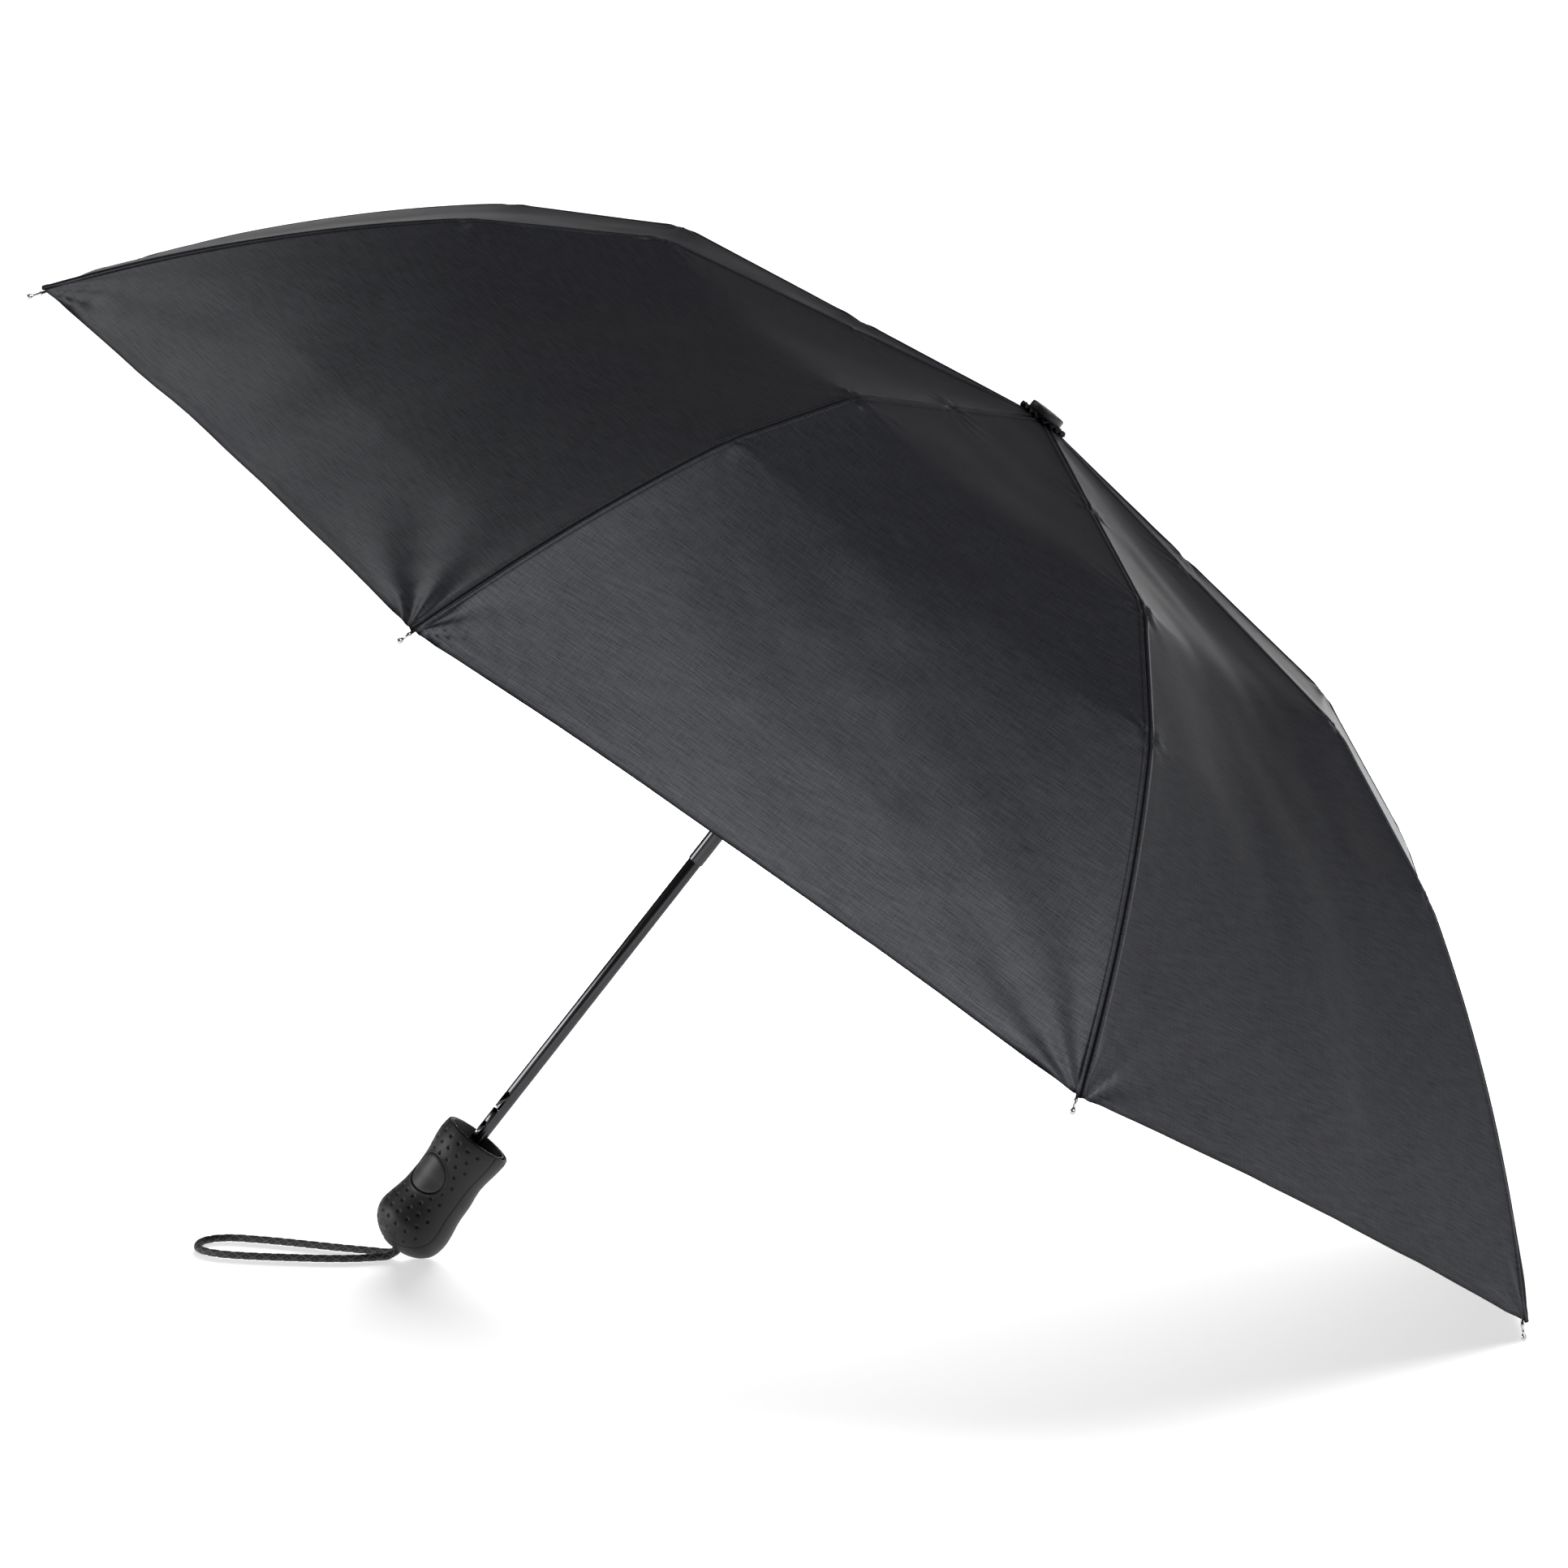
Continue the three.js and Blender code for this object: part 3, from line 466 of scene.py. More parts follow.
def rounded_line(line, spread):
    """The line with its corners rounded over this many samples."""
    reach = 3 * spread
    weights = bell(np.arange(-reach, reach + 1), spread * math.sqrt(2))
    head = 2 * line[:1] - line[reach:0:-1]
    tail = 2 * line[-1:] - line[-2:-reach - 2:-1]
    padded = np.concatenate([head, line, tail])
    weights /= weights.sum()
    return np.stack([np.convolve(column, weights, "valid") for column in padded.T], axis=1)


def row_distances():
    """Rows of the canopy, with one exactly at each leg's end. Returns them and those rows' numbers."""
    rows, ends = [np.zeros(1)], [0]
    for start, end in zip(stations, stations[1:]):
        count = max(3, round((end - start) / ROW_STEP))
        rows.append(np.linspace(start, end, count + 1)[1:])
        ends.append(ends[-1] + count)
    return np.concatenate(rows), ends


rows, row_ends = row_distances()
ridges = [ridge_line(rib) for rib in RIBS]
rounded_ridges = [rounded_line(ridge, CORNER_SPREAD) for ridge in ridges]
row_widths = 2 * np.interp(rows, fine, ridges[0][:, 0]) * math.sin(math.pi / len(RIBS))


def panel_sides():
    """For each row, the places of one panel's columns from 0 at a ridge to 1 before the next."""
    even = 0.5 * np.arange(HALF_COLUMNS + 1) / HALF_COLUMNS
    seam_count = len(SEAM_COLUMNS)
    seam = np.array(SEAM_COLUMNS) / row_widths[:, None]
    last = seam[:, -1:]
    beyond = np.linspace(0, 1, HALF_COLUMNS + 2 - seam_count)[1:]
    fits = last < even[seam_count - 1]
    far = np.where(fits, last + (0.5 - last) * beyond, even[seam_count:])
    half = np.concatenate([np.minimum(seam, even[:seam_count]), far], axis=1)
    return np.concatenate([half[:, :-1], (1 - half[:, 1:])[:, ::-1]], axis=1)


sides = panel_sides()
hollow = 4 * sides * (1 - sides)
ridge_gap = np.minimum(sides, 1 - sides) * row_widths[:, None]
across = (sides - 0.5) * row_widths[:, None]  # from a panel's middle
down = np.tile(rows[:, None], (1, sides.shape[1]))
hem_gap = ridge_length - down


def on_ridges(lines, rib, reach):
    """Points over a rib, in the shaft's frame, at these distances down its ridge."""
    rib = rib % len(RIBS)
    radius, height = (np.interp(reach, fine, lines[rib][:, axis]) for axis in range(2))
    angle = rib_angle(rib)
    return np.stack([radius * math.cos(angle), radius * math.sin(angle), height], axis=-1)


def panel_surface(panel):
    """A panel without its relief: sharp bends at the ridges that are rounded off between them."""
    share = rows[:, None] / ridge_length
    reach = rows[:, None] * (1 - share**2 * HEM_HOLLOW * hollow / ridge_length)
    inner = smoothstep(0, RIDGE_SHARE, np.minimum(sides, 1 - sides))[..., None]
    edges = [
        on_ridges(ridges, rib, reach) * (1 - inner) + on_ridges(rounded_ridges, rib, reach) * inner
        for rib in (panel, panel + 1)
    ]
    return edges[0] * (1 - sides[..., None]) + edges[1] * sides[..., None]


def grid_normals(points):
    """Outward normals of the whole canopy, whose columns close on themselves."""
    beside = np.roll(points, -1, axis=1) - np.roll(points, 1, axis=1)
    along = np.gradient(points, axis=0)
    normals = np.cross(along, beside)
    return normals / np.linalg.norm(normals, axis=-1, keepdims=True)


def ripples(count, shortest, longest, stretch):
    """A sum of waves over one panel, with lengths in millimetres; stretch makes them run downwards."""
    total = np.zeros_like(across)
    for _ in range(count):
        length = rng.uniform(shortest, longest)
        angle, phase = rng.uniform(0, 2 * math.pi, 2)
        place = across * math.cos(angle) + down * math.sin(angle) / stretch
        total += np.sin(2 * math.pi * place / length + phase) / count
    return total


def fan(distance_down, reach, folds, side):
    """Wrinkles that fan out from a point of the ridge on one side of a panel."""
    sideways = across + row_widths[:, None] / 2 if side < 0 else row_widths[:, None] / 2 - across
    lengthways = distance_down - down
    ray = np.arctan2(sideways, lengthways)
    away = np.hypot(sideways, lengthways)
    rise = (away / reach) * np.exp(0.5 - 0.5 * (away / reach) ** 2)
    phase = rng.uniform(0, 2 * math.pi, 2)
    uneven = 0.6 + 0.4 * np.sin(1.7 * ray + away / reach + phase[1])
    return rise * uneven * np.sin(folds * ray + phase[0]) * smoothstep(0, 3, sideways)


SEWN_PLACES = (  # [distance down the ridge, height of the wrinkles there, depth of the dent]
    (stations[1] + TIE_DOWN, 0.5, 1.0),
    (stations[2], 0.5, 1.3),
    (stations[3], 0.35, 0.8),
)


def seams_relief():
    """The raised bands along the ridges and the hem, with the valleys of their stitching."""
    band = smoothstep(0.5, 0.9, ridge_gap) * (1 - smoothstep(SEAM_BAND - 0.5, SEAM_BAND, ridge_gap))
    seam = BAND_HEIGHT * band - VALLEY_DEPTH * bell(ridge_gap, 0.75)
    hem = 0.22 * (1 - smoothstep(HEM_WIDTH + 0.3, HEM_WIDTH + 1, hem_gap))
    return seam + hem - 0.16 * bell(hem_gap - HEM_WIDTH, 0.7)


def dents_relief():
    """The cloth is pulled in where it is sewn to a rib, and puffs up around that place."""
    relief = np.zeros_like(down)
    for place, _, depth in SEWN_PLACES:
        dent = bell(down - place, 4.5) * bell(ridge_gap, 4)
        ring = bell(down - place, 6) * bell(ridge_gap - 7.5, 3)
        relief += 0.45 * depth * ring - depth * dent
    return relief


def panel_relief():
    """How far the cloth of one panel stands out from the plain surface."""
    relief = -PANEL_HOLLOW * hollow * np.sin(math.pi * np.minimum(1.15 * down / ridge_length, 1))
    relief += 1.8 * hollow * ripples(7, 70, 170, 2.5) + 0.55 * hollow * ripples(9, 22, 50, 2)
    relief += seams_relief() + dents_relief()
    for side in (-1, 1):
        relief += 0.8 * fan(ridge_length + TIP_PULL, 18, rng.uniform(10, 14), side)
        relief += 0.5 * fan(ridge_length + TIP_PULL, 50, rng.uniform(7, 10), side)
        for place, height, _ in SEWN_PLACES:
            relief += height * fan(place, 6, rng.uniform(6, 9), side)
            relief += 0.45 * height * fan(place + rng.uniform(-6, 6), 11, rng.uniform(8, 11), side)
    for crease in CREASES:
        line = across - (crease + rng.uniform(-0.03, 0.03)) * row_widths[:, None]
        shown = smoothstep(stations[2], stations[3], down) * rng.uniform(0.1, 0.3)
        relief += shown * bell(line, 1.6)
    return relief


def cloth_painted_shade():
    """How light the cloth is painted: painted shade in the seams' valleys, beside the sewn bands and along the
    edge of the hem, and a lighter line just inside the hem's band.
    """
    valley = 1 - 0.95 * bell(ridge_gap, 1.1) - 0.55 * bell(ridge_gap - SEAM_BAND + 0.1, 0.5)
    edge = 1 - 0.7 * (1 - smoothstep(0.8, 2, hem_gap)) + 0.25 * bell(hem_gap - HEM_WIDTH - 0.4, 0.5)
    return np.clip(valley * edge, 0.05, 1.3)


plain = np.concatenate([panel_surface(panel) for panel in RIBS], axis=1)
relief = np.concatenate([panel_relief() for _ in RIBS], axis=1)
canopy_grid = plain + relief[..., None] * grid_normals(plain)

# The hem is turned under: these rows lie close beneath the last one.
last_normal = grid_normals(canopy_grid)[-1]
inward = canopy_grid[-3] - canopy_grid[-1]
inward /= np.linalg.norm(inward, axis=1, keepdims=True)
turned = [canopy_grid[-1] + out * last_normal + inset * inward for inset, out, _ in TURNED_ROWS]
past_edge = np.array([distance for _, _, distance in TURNED_ROWS])[:, None]
canopy_grid = np.concatenate([canopy_grid, np.stack(turned)])
canopy_normals = grid_normals(canopy_grid)
row_ends[-1] += len(turned)


def with_turned_rows(values):
    """The values of the grid's rows, with the last row's repeated for the turned rows."""
    return np.concatenate([values, np.repeat(values[-1:], len(turned), axis=0)])


# Painted shade of the seams and the hem, the same on every panel.
painted_shade = with_turned_rows(np.tile(cloth_painted_shade(), (1, len(RIBS))))
panel_columns = 2 * HALF_COLUMNS
cloth_u = with_turned_rows(across)
cloth_v = np.concatenate([down, down[-1:] + past_edge])
far_u = with_turned_rows(row_widths) / 2


def canopy_piece(name, first_row, last_row, first_column, count, body):
    """Part of the canopy's grid as a piece of its own, with the whole canopy's normals."""
    columns = np.arange(first_column, first_column + count)
    wrapped = columns % canopy_grid.shape[1]
    wrap = count == canopy_grid.shape[1]
    block = np.ix_(np.arange(first_row, last_row + 1), wrapped)
    faces = grid_faces(last_row - first_row + 1, count, wrap)
    piece = add_piece(name, to_world(canopy_grid[block]), faces, fabric, body)
    # The piece carries its share of the painted shade.
    add_values(piece, "painted_shade", painted_shade[block])
    place_cloth(piece, columns, first_row, count, wrap)
    normals = (canopy_normals[block] @ axes).reshape(-1, 3)
    piece.data.normals_split_custom_set_from_vertices(normals.tolist())
    return piece


def place_cloth(piece, columns, first_row, count, wrap):
    """UVs in metres: across from the panel's middle, and down from the crown."""
    corner = np.array([loop.vertex_index for loop in piece.data.loops]).reshape(-1, 4)
    row = corner // count
    column = columns[corner % count]
    if wrap:
        ends = (column.max(axis=1) - column.min(axis=1) > panel_columns)[:, None]
        column = np.where(ends & (column < panel_columns), column + count, column)
    panel = column.min(axis=1, keepdims=True) // panel_columns
    within = column - panel * panel_columns
    at_end = within == panel_columns
    row = row + first_row
    u = np.where(at_end, far_u[row], cloth_u[row, within % panel_columns])
    v = cloth_v[row, within % panel_columns]
    layer = piece.data.uv_layers.new(name="cloth")
    layer.data.foreach_set("uv", (np.stack([u, v], axis=-1) * MM).astype(np.float32).reshape(-1))


def make_canopy():
    """One skin, split where it folds: a piece over each leg of each rib, and the middle."""
    centre = canopy_piece("canopy_centre", 0, CENTRE_ROWS, 0, canopy_grid.shape[1], "upper_shaft")
    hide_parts("canopy")
    for rib in RIBS:
        first = rib * panel_columns - HALF_COLUMNS
        for leg, kind in enumerate(("top", "middle", "outer"), start=1):
            node = f"{kind}_rib_{rib + 1}"
            start = max(row_ends[leg], CENTRE_ROWS)
            block = (start, row_ends[leg + 1], first, panel_columns + 1)
            piece = canopy_piece(f"canopy_{kind}_{rib + 1}", *block, node)
            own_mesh(piece)


make_canopy()

# ---- Cap and its pleated collar ------------------------------------------------------------------
CAP_TOP = 224
CAP_RADIUS = 9.6
CAP_STEM_RADIUS = 2.6
COLLAR_RADIUS = 13.4
COLLAR_HOLE = 3.2
COLLAR_HEIGHT = 219
COLLAR_SEGMENTS = 380
PLEATS = 19
PLEAT_DROP, PLEAT_HEIGHT = 1.6, 2.6  # of the rim between the pleats, and of the pleats over it


def make_cap():
    """A slightly crowned disc with a rounded rim, on a short stem."""
    outline = [  # [radius, height over the cap's rim]
        (0, 0.1), (3, 0.1), (6, 0.06), (8.2, 0), (8.95, -0.1), (9.35, -0.3), (CAP_RADIUS, -0.75),
        (CAP_RADIUS, -3.4), (9.3, -4.2), (8.6, -4.5), (CAP_STEM_RADIUS, -4.5), (CAP_STEM_RADIUS, -12),
        (0, -12),
    ]
    profile = [(radius, CAP_TOP + height) for radius, height in outline]
    cap = lathe("cap_disc", profile, 72, plastic, "upper_shaft")
    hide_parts("cap")


def make_collar():
    """A gathered ring of cloth under the cap, whose pleats lie over and stand up at the rim."""
    angle = np.linspace(0, 2 * math.pi, COLLAR_SEGMENTS, endpoint=False)
    uneven = 0.5 * np.sin(3 * angle + 0.6) + 0.35 * np.sin(7 * angle + 2)
    pleat = (PLEATS * angle + uneven) / (2 * math.pi) % 1
    fold = np.abs(2 * pleat - 1) ** 0.8
    shares = np.linspace(0, 1, 14)[:, None]
    lift = shares**1.6 * (PLEAT_HEIGHT * fold - PLEAT_DROP)
    layers = []
    for under in (0, 1):
        ragged = shares * (1 + 0.5 * np.sin(5 * angle + 1) + 0.4 * np.sin(11 * angle + under))
        reach = COLLAR_RADIUS - COLLAR_HOLE - 1.2 * under
        radius = COLLAR_HOLE + reach * shares + 0.6 * ragged * (1 - fold)
        height = COLLAR_HEIGHT - 0.5 * under + lift + 0.25 * ragged
        layers.append(np.stack([radius * np.cos(angle), radius * np.sin(angle), height], axis=-1))
    points = np.concatenate([layers[0], layers[1][::-1]])
    faces = grid_faces(len(points), COLLAR_SEGMENTS, True)
    collar = add_piece(
        "cap_collar", to_world(points), faces, fabric, "upper_shaft"
    )
    # Painted shade: the collar is darker down in the pleats' valleys than on their raised folds.
    add_values(collar, "painted_shade", 0.35 + 0.5 * np.tile(fold, (len(points), 1)))
    layer = collar.data.uv_layers.new(name="cloth")
    corner = np.array([loop.vertex_index for loop in collar.data.loops])
    flat = points.reshape(-1, 3)[corner, :2] * MM
    layer.data.foreach_set("uv", flat.astype(np.float32).reshape(-1))


make_cap()
make_collar()

# ---- Handle --------------------------------------------------------------------------------------
RIM = -245.7  # height of the cup's rim; depths are measured down from it
BUTTON_DEPTH = 27
BUTTON_WIDTH, BUTTON_LENGTH = 24, 19.2
pressed = axes @ np.array(joints["button_press"]["axis"], float)
FRONT_ANGLE = math.atan2(-pressed[1], -pressed[0])  # the way the button faces, about the shaft
GRIP_OUTLINE = [  # [depth, radius at the button, radius at the back]
    (0, 17.9, 18.9), (2.5, 18.3, 19.3), (6, 18.6, 19), (10, 18.4, 18.4), (15, 17.5, 17.7),
    (20, 16.6, 17.4), (25, 16, 18), (30, 15.6, 18.9), (40, 16.3, 19.4), (49, 18.2, 20.8),
    (54.4, 19.1, 21), (59.3, 18, 20.4), (63, 15.7, 19), (66.3, 12.2, 15.9), (68.6, 8.6, 11.9),
    (69.5, 6.2, 8.6), (69.7, 5, 6),
]
OUTLINE_SAMPLES = 1500  # of the smooth line through the outline
GRIP_AROUND = 300
GRIP_ROWS = 210
RIM_ROLL = [(0.35, -0.35), (0.9, -0.45), (1.5, -0.3), (1.8, 0.3), (1.9, 1.2), (1.9, 2.6)]  # [inset, drop]
MEAN_RADIUS = 17  # of the grip, for distances around it
DIMPLE_RADIUS = 1.1
DIMPLE_DEPTH = 0.75
DIMPLE_AROUND, DIMPLE_ALONG = 5.6, 5.2  # pitches of the staggered grid
DIMPLE_START = 4.3  # depth of its first row
DIMPLE_END = 63  # depth past which there are none
DIMPLE_REACH = 17.5  # how far round the grip they go, to each side of the button
SEAM_SIDE = math.radians(84)  # from the button's direction to the seam along the grip's side
SEAM_BEND = 38  # depth from which the seam curves in under the front panel
SEAM_LOWEST = 67.8
SEAM_LEAN = 3  # how much lower the seam is on one side, for each radian
SEAM_SCALE = 26  # turns the seam's shape into millimetres
SEAM_DEPTH, SEAM_WIDTH = 0.45, 0.42
BUTTON_GAP = 0.55
HOLE_EDGE = 1 + BUTTON_GAP / (BUTTON_WIDTH / 2)  # of the button's hole, on the button's own scale
BUTTON_LIP = 0.28  # height of the raised edge round the button's hole
BUTTON_WELL = 3.0  # depth of its hole
BUTTON_RISE = 0.75  # how far the button's middle stands over the grip
BUTTON_SKIRT = (-1.2, -2.8)  # heights of the two rings of its side wall


def grip_profile():
    """The outline as depth, front radius and back radius, at evenly spaced rows down its surface."""
    line, _ = even_line(spline(GRIP_OUTLINE, OUTLINE_SAMPLES), 0.05)
    places = np.linspace(0, len(line) - 1, GRIP_ROWS).round().astype(int)
    return line[places]


def half_width(along):
    """Of the button, at this distance down from its centre; its lower end is the wider one."""
    return BUTTON_WIDTH / 2 * (1 + 0.1 * np.clip(along / (BUTTON_LENGTH / 2), -1, 1))


def egg(side, along):
    """0 at the button's centre and 1 on its edge."""
    return np.hypot(side / half_width(along), along / (BUTTON_LENGTH / 2))


def seam_gap(turn, depth):
    """How far inside the front panel's seam a point is, in millimetres; below 0 it is outside."""
    lowest = SEAM_LOWEST - SEAM_LEAN * turn
    side = np.abs(turn) / SEAM_SIDE
    low = np.clip((depth - SEAM_BEND) / (lowest - SEAM_BEND), 0, None)
    return (1 - (side**4 + low**4) ** 0.25) * SEAM_SCALE


def blended_radius(front, rear, turn):
    """From the front radius at the button's direction to the rear one opposite."""
    return rear + (front - rear) * (1 + np.cos(turn)) / 2


def grip_points(profile, turn, lift):
    """Points of the grip in the shaft's frame. turn is the angle from the button's direction."""
    depth, front, rear = (profile[:, i, None] for i in range(3))
    radius = blended_radius(front, rear, turn) + lift
    angle = turn + FRONT_ANGLE
    return np.stack([radius * np.cos(angle), radius * np.sin(angle), RIM - depth + 0 * angle], axis=-1)


def dimples(side, depth):
    """1 at the middle of a pit and 0 between them, on a staggered grid."""
    row = np.round((depth - DIMPLE_START) / DIMPLE_ALONG)
    shift = DIMPLE_AROUND / 2 * (row % 2)
    nearest = np.round((side - shift) / DIMPLE_AROUND) * DIMPLE_AROUND + shift
    away = np.hypot(side - nearest, depth - DIMPLE_START - row * DIMPLE_ALONG)
    pit = np.clip(1 - (away / DIMPLE_RADIUS) ** 2, 0, None)
    clear = (egg(side, depth - BUTTON_DEPTH) > 1.2) & (depth > 3) & (depth < DIMPLE_END)
    return pit * clear * (np.abs(nearest) < DIMPLE_REACH)


def grip_turns(depth):
    """The columns' angles on each row, with those beside the button's hole moved onto its edge."""
    turn = np.linspace(-math.pi, math.pi, GRIP_AROUND, endpoint=False)[None] + 0 * depth
    ring = egg(turn * MEAN_RADIUS, depth - BUTTON_DEPTH)
    near_edge = np.abs(ring - HOLE_EDGE) * BUTTON_WIDTH / 2 < 0.2
    return np.where(near_edge, turn * HOLE_EDGE / np.maximum(ring, 0.1), turn)


def rolled_rim(profile, turn):
    """Rows of points that roll over from the rim into the cup, the innermost first."""
    rim_rows = []
    for inset, drop in RIM_ROLL:
        row = grip_points(profile[:1], turn[:1], -inset)
        row[..., 2] = RIM - drop
        rim_rows.append(row)
    return rim_rows[::-1]


def make_grip():
    """One swept surface, split along the seam into the front panel and the back band."""
    profile = grip_profile()
    depth = profile[:, 0, None]
    turn = grip_turns(depth)
    side = turn * MEAN_RADIUS
    pits = dimples(side, depth)
    inside = seam_gap(turn, depth)
    groove = bell(inside, SEAM_WIDTH)
    outside = (egg(side, depth - BUTTON_DEPTH) - HOLE_EDGE) * BUTTON_WIDTH / 2
    lip = bell(outside - 0.7, 0.6) * (outside > -0.05)
    well = smoothstep(-0.02, -0.3, outside)
    lift = BUTTON_LIP * lip - BUTTON_WELL * well - DIMPLE_DEPTH * pits - SEAM_DEPTH * groove
    # How open to the light each point is: the pits, the seam and the hole are dark.
    wall_open = 1 - 0.85 * np.clip(pits * 1.6, 0, 1)
    wall_open = wall_open * (1 - 0.85 * groove) * (1 - 0.95 * (outside < -0.1))
    rim_rows = rolled_rim(profile, turn)
    points = np.concatenate([*rim_rows, grip_points(profile, turn, lift)])
    # The rim's roll into the cup gets a little painted shade.
    wall_open = np.concatenate([np.full((len(rim_rows), GRIP_AROUND), 0.9), wall_open])
    inside = np.concatenate([np.repeat(inside[:1], len(rim_rows), axis=0), inside])
    faces = grid_faces(len(points), GRIP_AROUND, True)
    middle = inside.reshape(-1)[faces].mean(axis=1)
    for half, chosen in (("front", middle > 0), ("back", middle <= 0)):
        used, compact = np.unique(faces[chosen], return_inverse=True)
        kept = to_world(points.reshape(-1, 3)[used])
        quads = compact.reshape(-1, 4)
        skin = add_piece(f"grip_{half}_skin", kept, quads, rubber, "handle")
        add_values(skin, "open", wall_open.reshape(-1)[used])
        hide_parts(f"grip_{half}")


def make_button():
    """An egg-shaped dome that follows the grip's surface, with its edge rounded down into the gap."""
    profile = spline(GRIP_OUTLINE, OUTLINE_SAMPLES)
    rings = np.concatenate([np.linspace(0.02, 0.9, 16), [0.94, 0.97, 0.99, 1, 1, 1]])
    heights = BUTTON_RISE - 0.55 * rings**2 - 0.35 * smoothstep(0.9, 1, rings)
    heights[-2:] = BUTTON_SKIRT
    angle = np.linspace(0, 2 * math.pi, 96, endpoint=False)
    along = rings[:, None] * BUTTON_LENGTH / 2 * np.sin(angle)
    side = rings[:, None] * half_width(along) * np.cos(angle)
    depth = along + BUTTON_DEPTH
    turn = side / MEAN_RADIUS
    front, rear = (np.interp(depth, profile[:, 0], profile[:, i]) for i in (1, 2))
    radius = blended_radius(front, rear, turn) + heights[:, None]
    place = turn + FRONT_ANGLE
    points = np.stack([radius * np.cos(place), radius * np.sin(place), RIM - depth], axis=-1)
    faces = grid_faces(len(rings), len(angle), True)
    piece = add_piece(
        "button_dome", to_world(points), faces, button_plastic, "button"
    )
    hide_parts("button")


make_grip()
make_button()

# ---- Tip pins ------------------------------------------------------------------------------------
PIN_PROFILE = [  # [distance past the ball's centre, radius]
    (-11, 0.75), (-6.5, 0.75), (-6.2, 1.05), (-5.4, 1.05), (-5.1, 0.7), (-2.4, 0.6), (-1.6, 0.75),
    (-1.2, 0.98), (-0.7, 1.25), (0, 1.42), (0.7, 1.25), (1.15, 0.85), (1.38, 0.35), (1.42, 0.02),
]


def tip_heading(rib):
    """The direction of a rib's end, in its plane: the bow turns it down from the rib's chord."""
    leg = tip_centre(rib) - hinge_in_plane("outer", rib)
    along, out = unit(leg), outward(leg)
    turn = math.atan(4 * OUTER_BOW / np.linalg.norm(leg))
    return along * math.cos(turn) - out * math.sin(turn)


def make_tips():
    """A turned pin with a collar and a ball, sewn to each corner of the canopy."""
    angle = np.linspace(0, 2 * math.pi, 24, endpoint=False)[:, None]
    upward = np.array([0, 0, 1])
    faces = grid_faces(len(PIN_PROFILE), len(angle), True)[:, ::-1]
    for rib in RIBS:
        spoke = rib_angle(rib)
        out = np.array([math.cos(spoke), math.sin(spoke), 0])
        sideways = np.array([-math.sin(spoke), math.cos(spoke), 0])
        forward, centre = (
            flat[0] * out + flat[1] * upward for flat in (tip_heading(rib), tip_centre(rib))
        )
        ring = np.cos(angle) * sideways + np.sin(angle) * np.cross(forward, sideways)
        points = [centre + reach * forward + radius * ring for reach, radius in PIN_PROFILE]
        name, body = f"tip_pin_{rib + 1}", f"outer_rib_{rib + 1}"
        pin = add_piece(name, to_world(points), faces, bright, body)
        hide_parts(f"rib_tip_{rib + 1}")


make_tips()

# ---- Opening spring ------------------------------------------------------------------------------
SPRING_BOTTOM, SPRING_TOP = -37.5, 209
SPRING_RADIUS = 2.7
SPRING_WIRE = 0.45  # radius of its wire
SPRING_TURNS = 14
SPRING_STEPS = 28  # rows in one turn
SPRING_SIDES = 10
WIRE_END = 0.02  # radius that closes the wire's ends


def make_spring():
    """The coil above the lower tube, which the upper tube shortens as it comes down."""
    turn = np.linspace(0, 2 * math.pi * SPRING_TURNS, SPRING_TURNS * SPRING_STEPS + 1)[:, None]
    height = np.linspace(SPRING_BOTTOM, SPRING_TOP, len(turn))[:, None]
    around = np.linspace(0, 2 * math.pi, SPRING_SIDES, endpoint=False)
    wire = np.full_like(turn, SPRING_WIRE)
    wire[[0, -1]] = WIRE_END
    radius = SPRING_RADIUS + wire * np.cos(around)
    points = np.stack(
        [radius * np.cos(turn), radius * np.sin(turn), height + wire * np.sin(around)], axis=-1
    )
    faces = grid_faces(len(turn), len(around), True)
    coil = add_piece("spring_coil", to_world(points), faces, bright, "handle")
    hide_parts("opening_spring")
    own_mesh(coil)


make_spring()

# ---- CAD pieces that keep their own shape --------------------------------------------------------
CAD_LOOKS = {  # material slot: [material, width of the rounded edges]
    "black_steel": (gunmetal, 0.00012),
    "bright_steel": (bright, 0.0001),
    "black_plastic": (plastic, 0.0002),
    "cord_braid": (braid, 0.0002),
}


def dress_cad():
    """Rounds the edges of the CAD pieces that still show and gives them their finish."""
    for part in frame["record"]["subparts"]:
        node = nodes[part["node"]]
        if node.hide_render:
            continue
        material, rounding = CAD_LOOKS[part["material_slot"]]
        node.data.materials.clear()
        node.data.materials.append(material)
        normals = node.data.attributes.get("custom_normal")
        if normals is not None:
            node.data.attributes.remove(normals)
        node.data.polygons.foreach_set("use_smooth", [True] * len(node.data.polygons))
        weld = node.modifiers.new("weld", "WELD")
        weld.merge_threshold = 0.00001
        bevel = node.modifiers.new("bevel", "BEVEL")
        bevel.width = rounding
        bevel.segments = 2
        bevel.limit_method = "ANGLE"
        bevel.angle_limit = math.radians(40)
        split = node.modifiers.new("split", "EDGE_SPLIT")
        split.split_angle = math.radians(35)


dress_cad()

# ---- Studio --------------------------------------------------------------------------------------
SWEEP_HALF_WIDTH = 9.0
SWEEP_FRONT, SWEEP_BEND = -8.0, 6.5  # where the floor starts, and where it starts to curve up
SWEEP_RADIUS = 0.5
SWEEP_TOP = 1.4


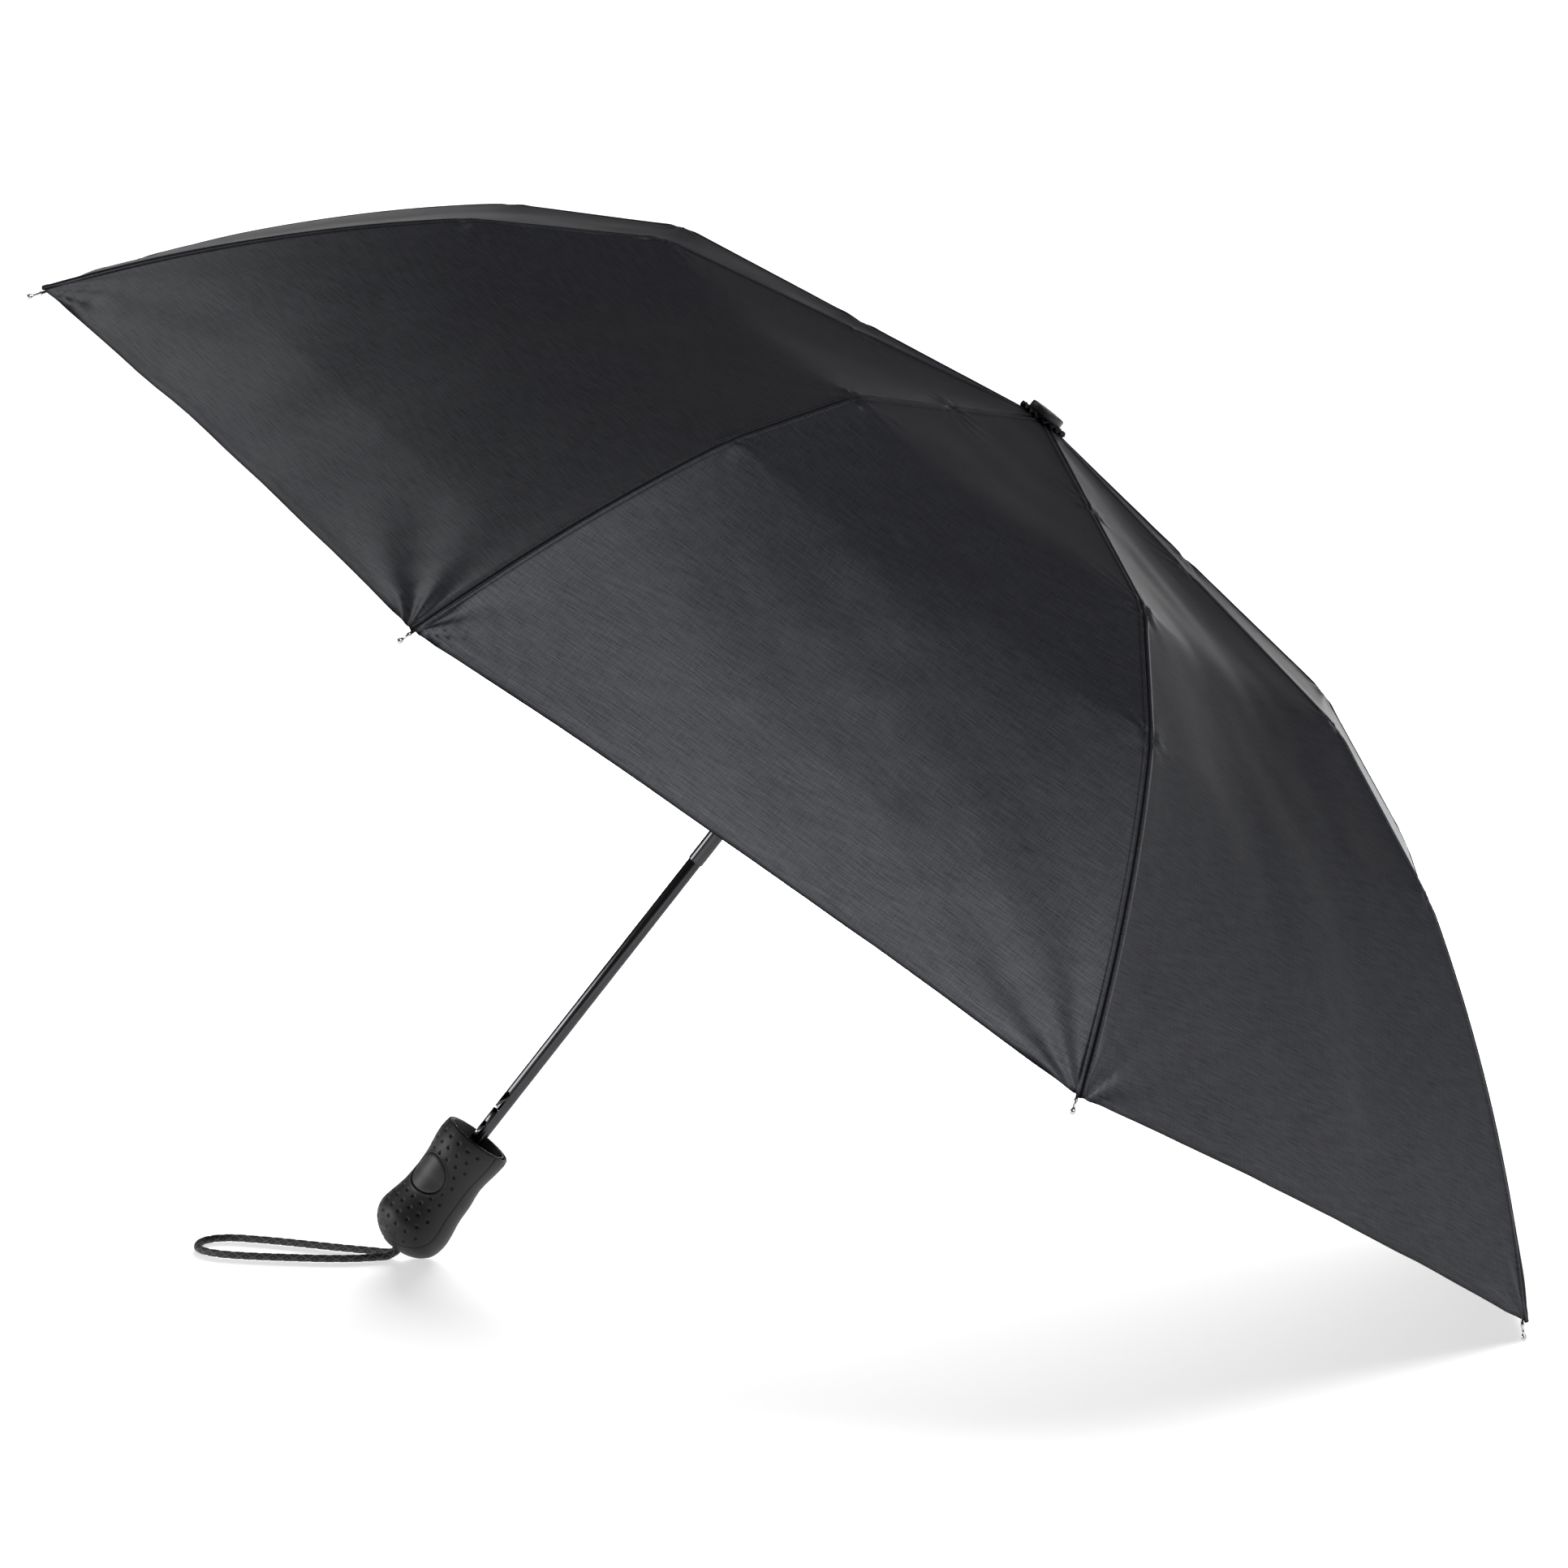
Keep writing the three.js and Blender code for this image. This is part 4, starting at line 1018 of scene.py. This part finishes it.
def make_backdrop():
    """A lit paper sweep: a pale floor that curves up behind the umbrella."""
    outline = [(SWEEP_FRONT, 0.0)]
    for angle in np.linspace(0, math.pi / 2, 16):
        rise = SWEEP_RADIUS * (1 - math.cos(angle))
        outline.append((SWEEP_BEND + SWEEP_RADIUS * math.sin(angle), rise))
    outline.append((SWEEP_BEND + SWEEP_RADIUS, SWEEP_TOP))
    points = [(side * SWEEP_HALF_WIDTH, y, z) for y, z in outline for side in (-1, 1)]
    faces = [(2 * i, 2 * i + 1, 2 * i + 3, 2 * i + 2) for i in range(len(outline) - 1)]
    mesh = bpy.data.meshes.new("backdrop")
    mesh.from_pydata(points, [], faces)
    mesh.polygons.foreach_set("use_smooth", [True] * len(mesh.polygons))
    material = bpy.data.materials.new("backdrop_paper")
    material.use_nodes = True
    paper = material.node_tree.nodes["Principled BSDF"]
    paper.inputs["Base Color"].default_value = (0.5, 0.5, 0.5, 1)
    paper.inputs["Roughness"].default_value = 0.9
    paper.inputs["Specular IOR Level"].default_value = 0.1
    paper.inputs["Emission Color"].default_value = (1, 1, 1, 1)
    paper.inputs["Emission Strength"].default_value = 0.62
    mesh.materials.append(material)
    backdrop = bpy.data.objects.new("backdrop", mesh)
    scene.collection.objects.link(backdrop)
    return backdrop


def add_softbox(name, place, aim, size, power):
    lamp = bpy.data.lights.new(name, "AREA")
    lamp.shape = "RECTANGLE"
    lamp.size, lamp.size_y = size
    lamp.energy = power
    box = bpy.data.objects.new(name, lamp)
    box.location = place
    box.rotation_euler = (Vector(place) - Vector(aim)).to_track_quat("Z", "Y").to_euler()
    box.visible_camera = False
    scene.collection.objects.link(box)
    return box


def light_only(box, target, state):
    """The lamp lights just the target with INCLUDE, and all but the target with EXCLUDE."""
    chosen = bpy.data.collections.new(box.name + "_target")
    chosen.objects.link(target)
    chosen.collection_objects[0].light_linking.link_state = state
    box.light_linking.receiver_collection = chosen


backdrop = make_backdrop()
LAMP_AIM = (0, 0, 0.3)
BODY_LAMPS = (  # name, place, size, power; they light the umbrella but not the backdrop
    ("high", (1.3, -0.75, 2.9), (1.3, 1.3), 15),
    ("key", (1.74, -1.74, 2.02), (1.3, 1.3), 27),
    ("high_left", (-1.3, 0.75, 2.9), (1.3, 1.3), 13),
    ("side", (2.8, 0, 1.2), (1.3, 1.6), 11),
    ("left", (-2.9, -0.4, 0.9), (1.2, 1.2), 38),
    ("glow", (0.8, 3.4, 0.2), (1.6, 0.6), 5),
)
for name, place, size, power in BODY_LAMPS:
    light_only(add_softbox(name, place, LAMP_AIM, size, power), backdrop, "EXCLUDE")
FLOOR_LAMPS = (  # name, place, aim, size, power; they light the backdrop alone
    ("overhead", (0.1, -0.1, 2.7), (0.1, -0.1, 0), (2.4, 2.4), 85),
    ("rear", (-0.1, 2.8, 0.75), (0, 0, 0), (1.6, 0.8), 230),
    ("wash", (0, 3.2, 2.6), (0, 5.6, 0), (6.0, 1.5), 320),
)
for name, place, aim, size, power in FLOOR_LAMPS:
    light_only(add_softbox(name, place, aim, size, power), backdrop, "INCLUDE")
sky = bpy.data.worlds.new("studio")
sky.use_nodes = True
sky.node_tree.nodes["Background"].inputs["Color"].default_value = (1, 1, 1, 1)
sky.node_tree.nodes["Background"].inputs["Strength"].default_value = 0.075
scene.world = sky
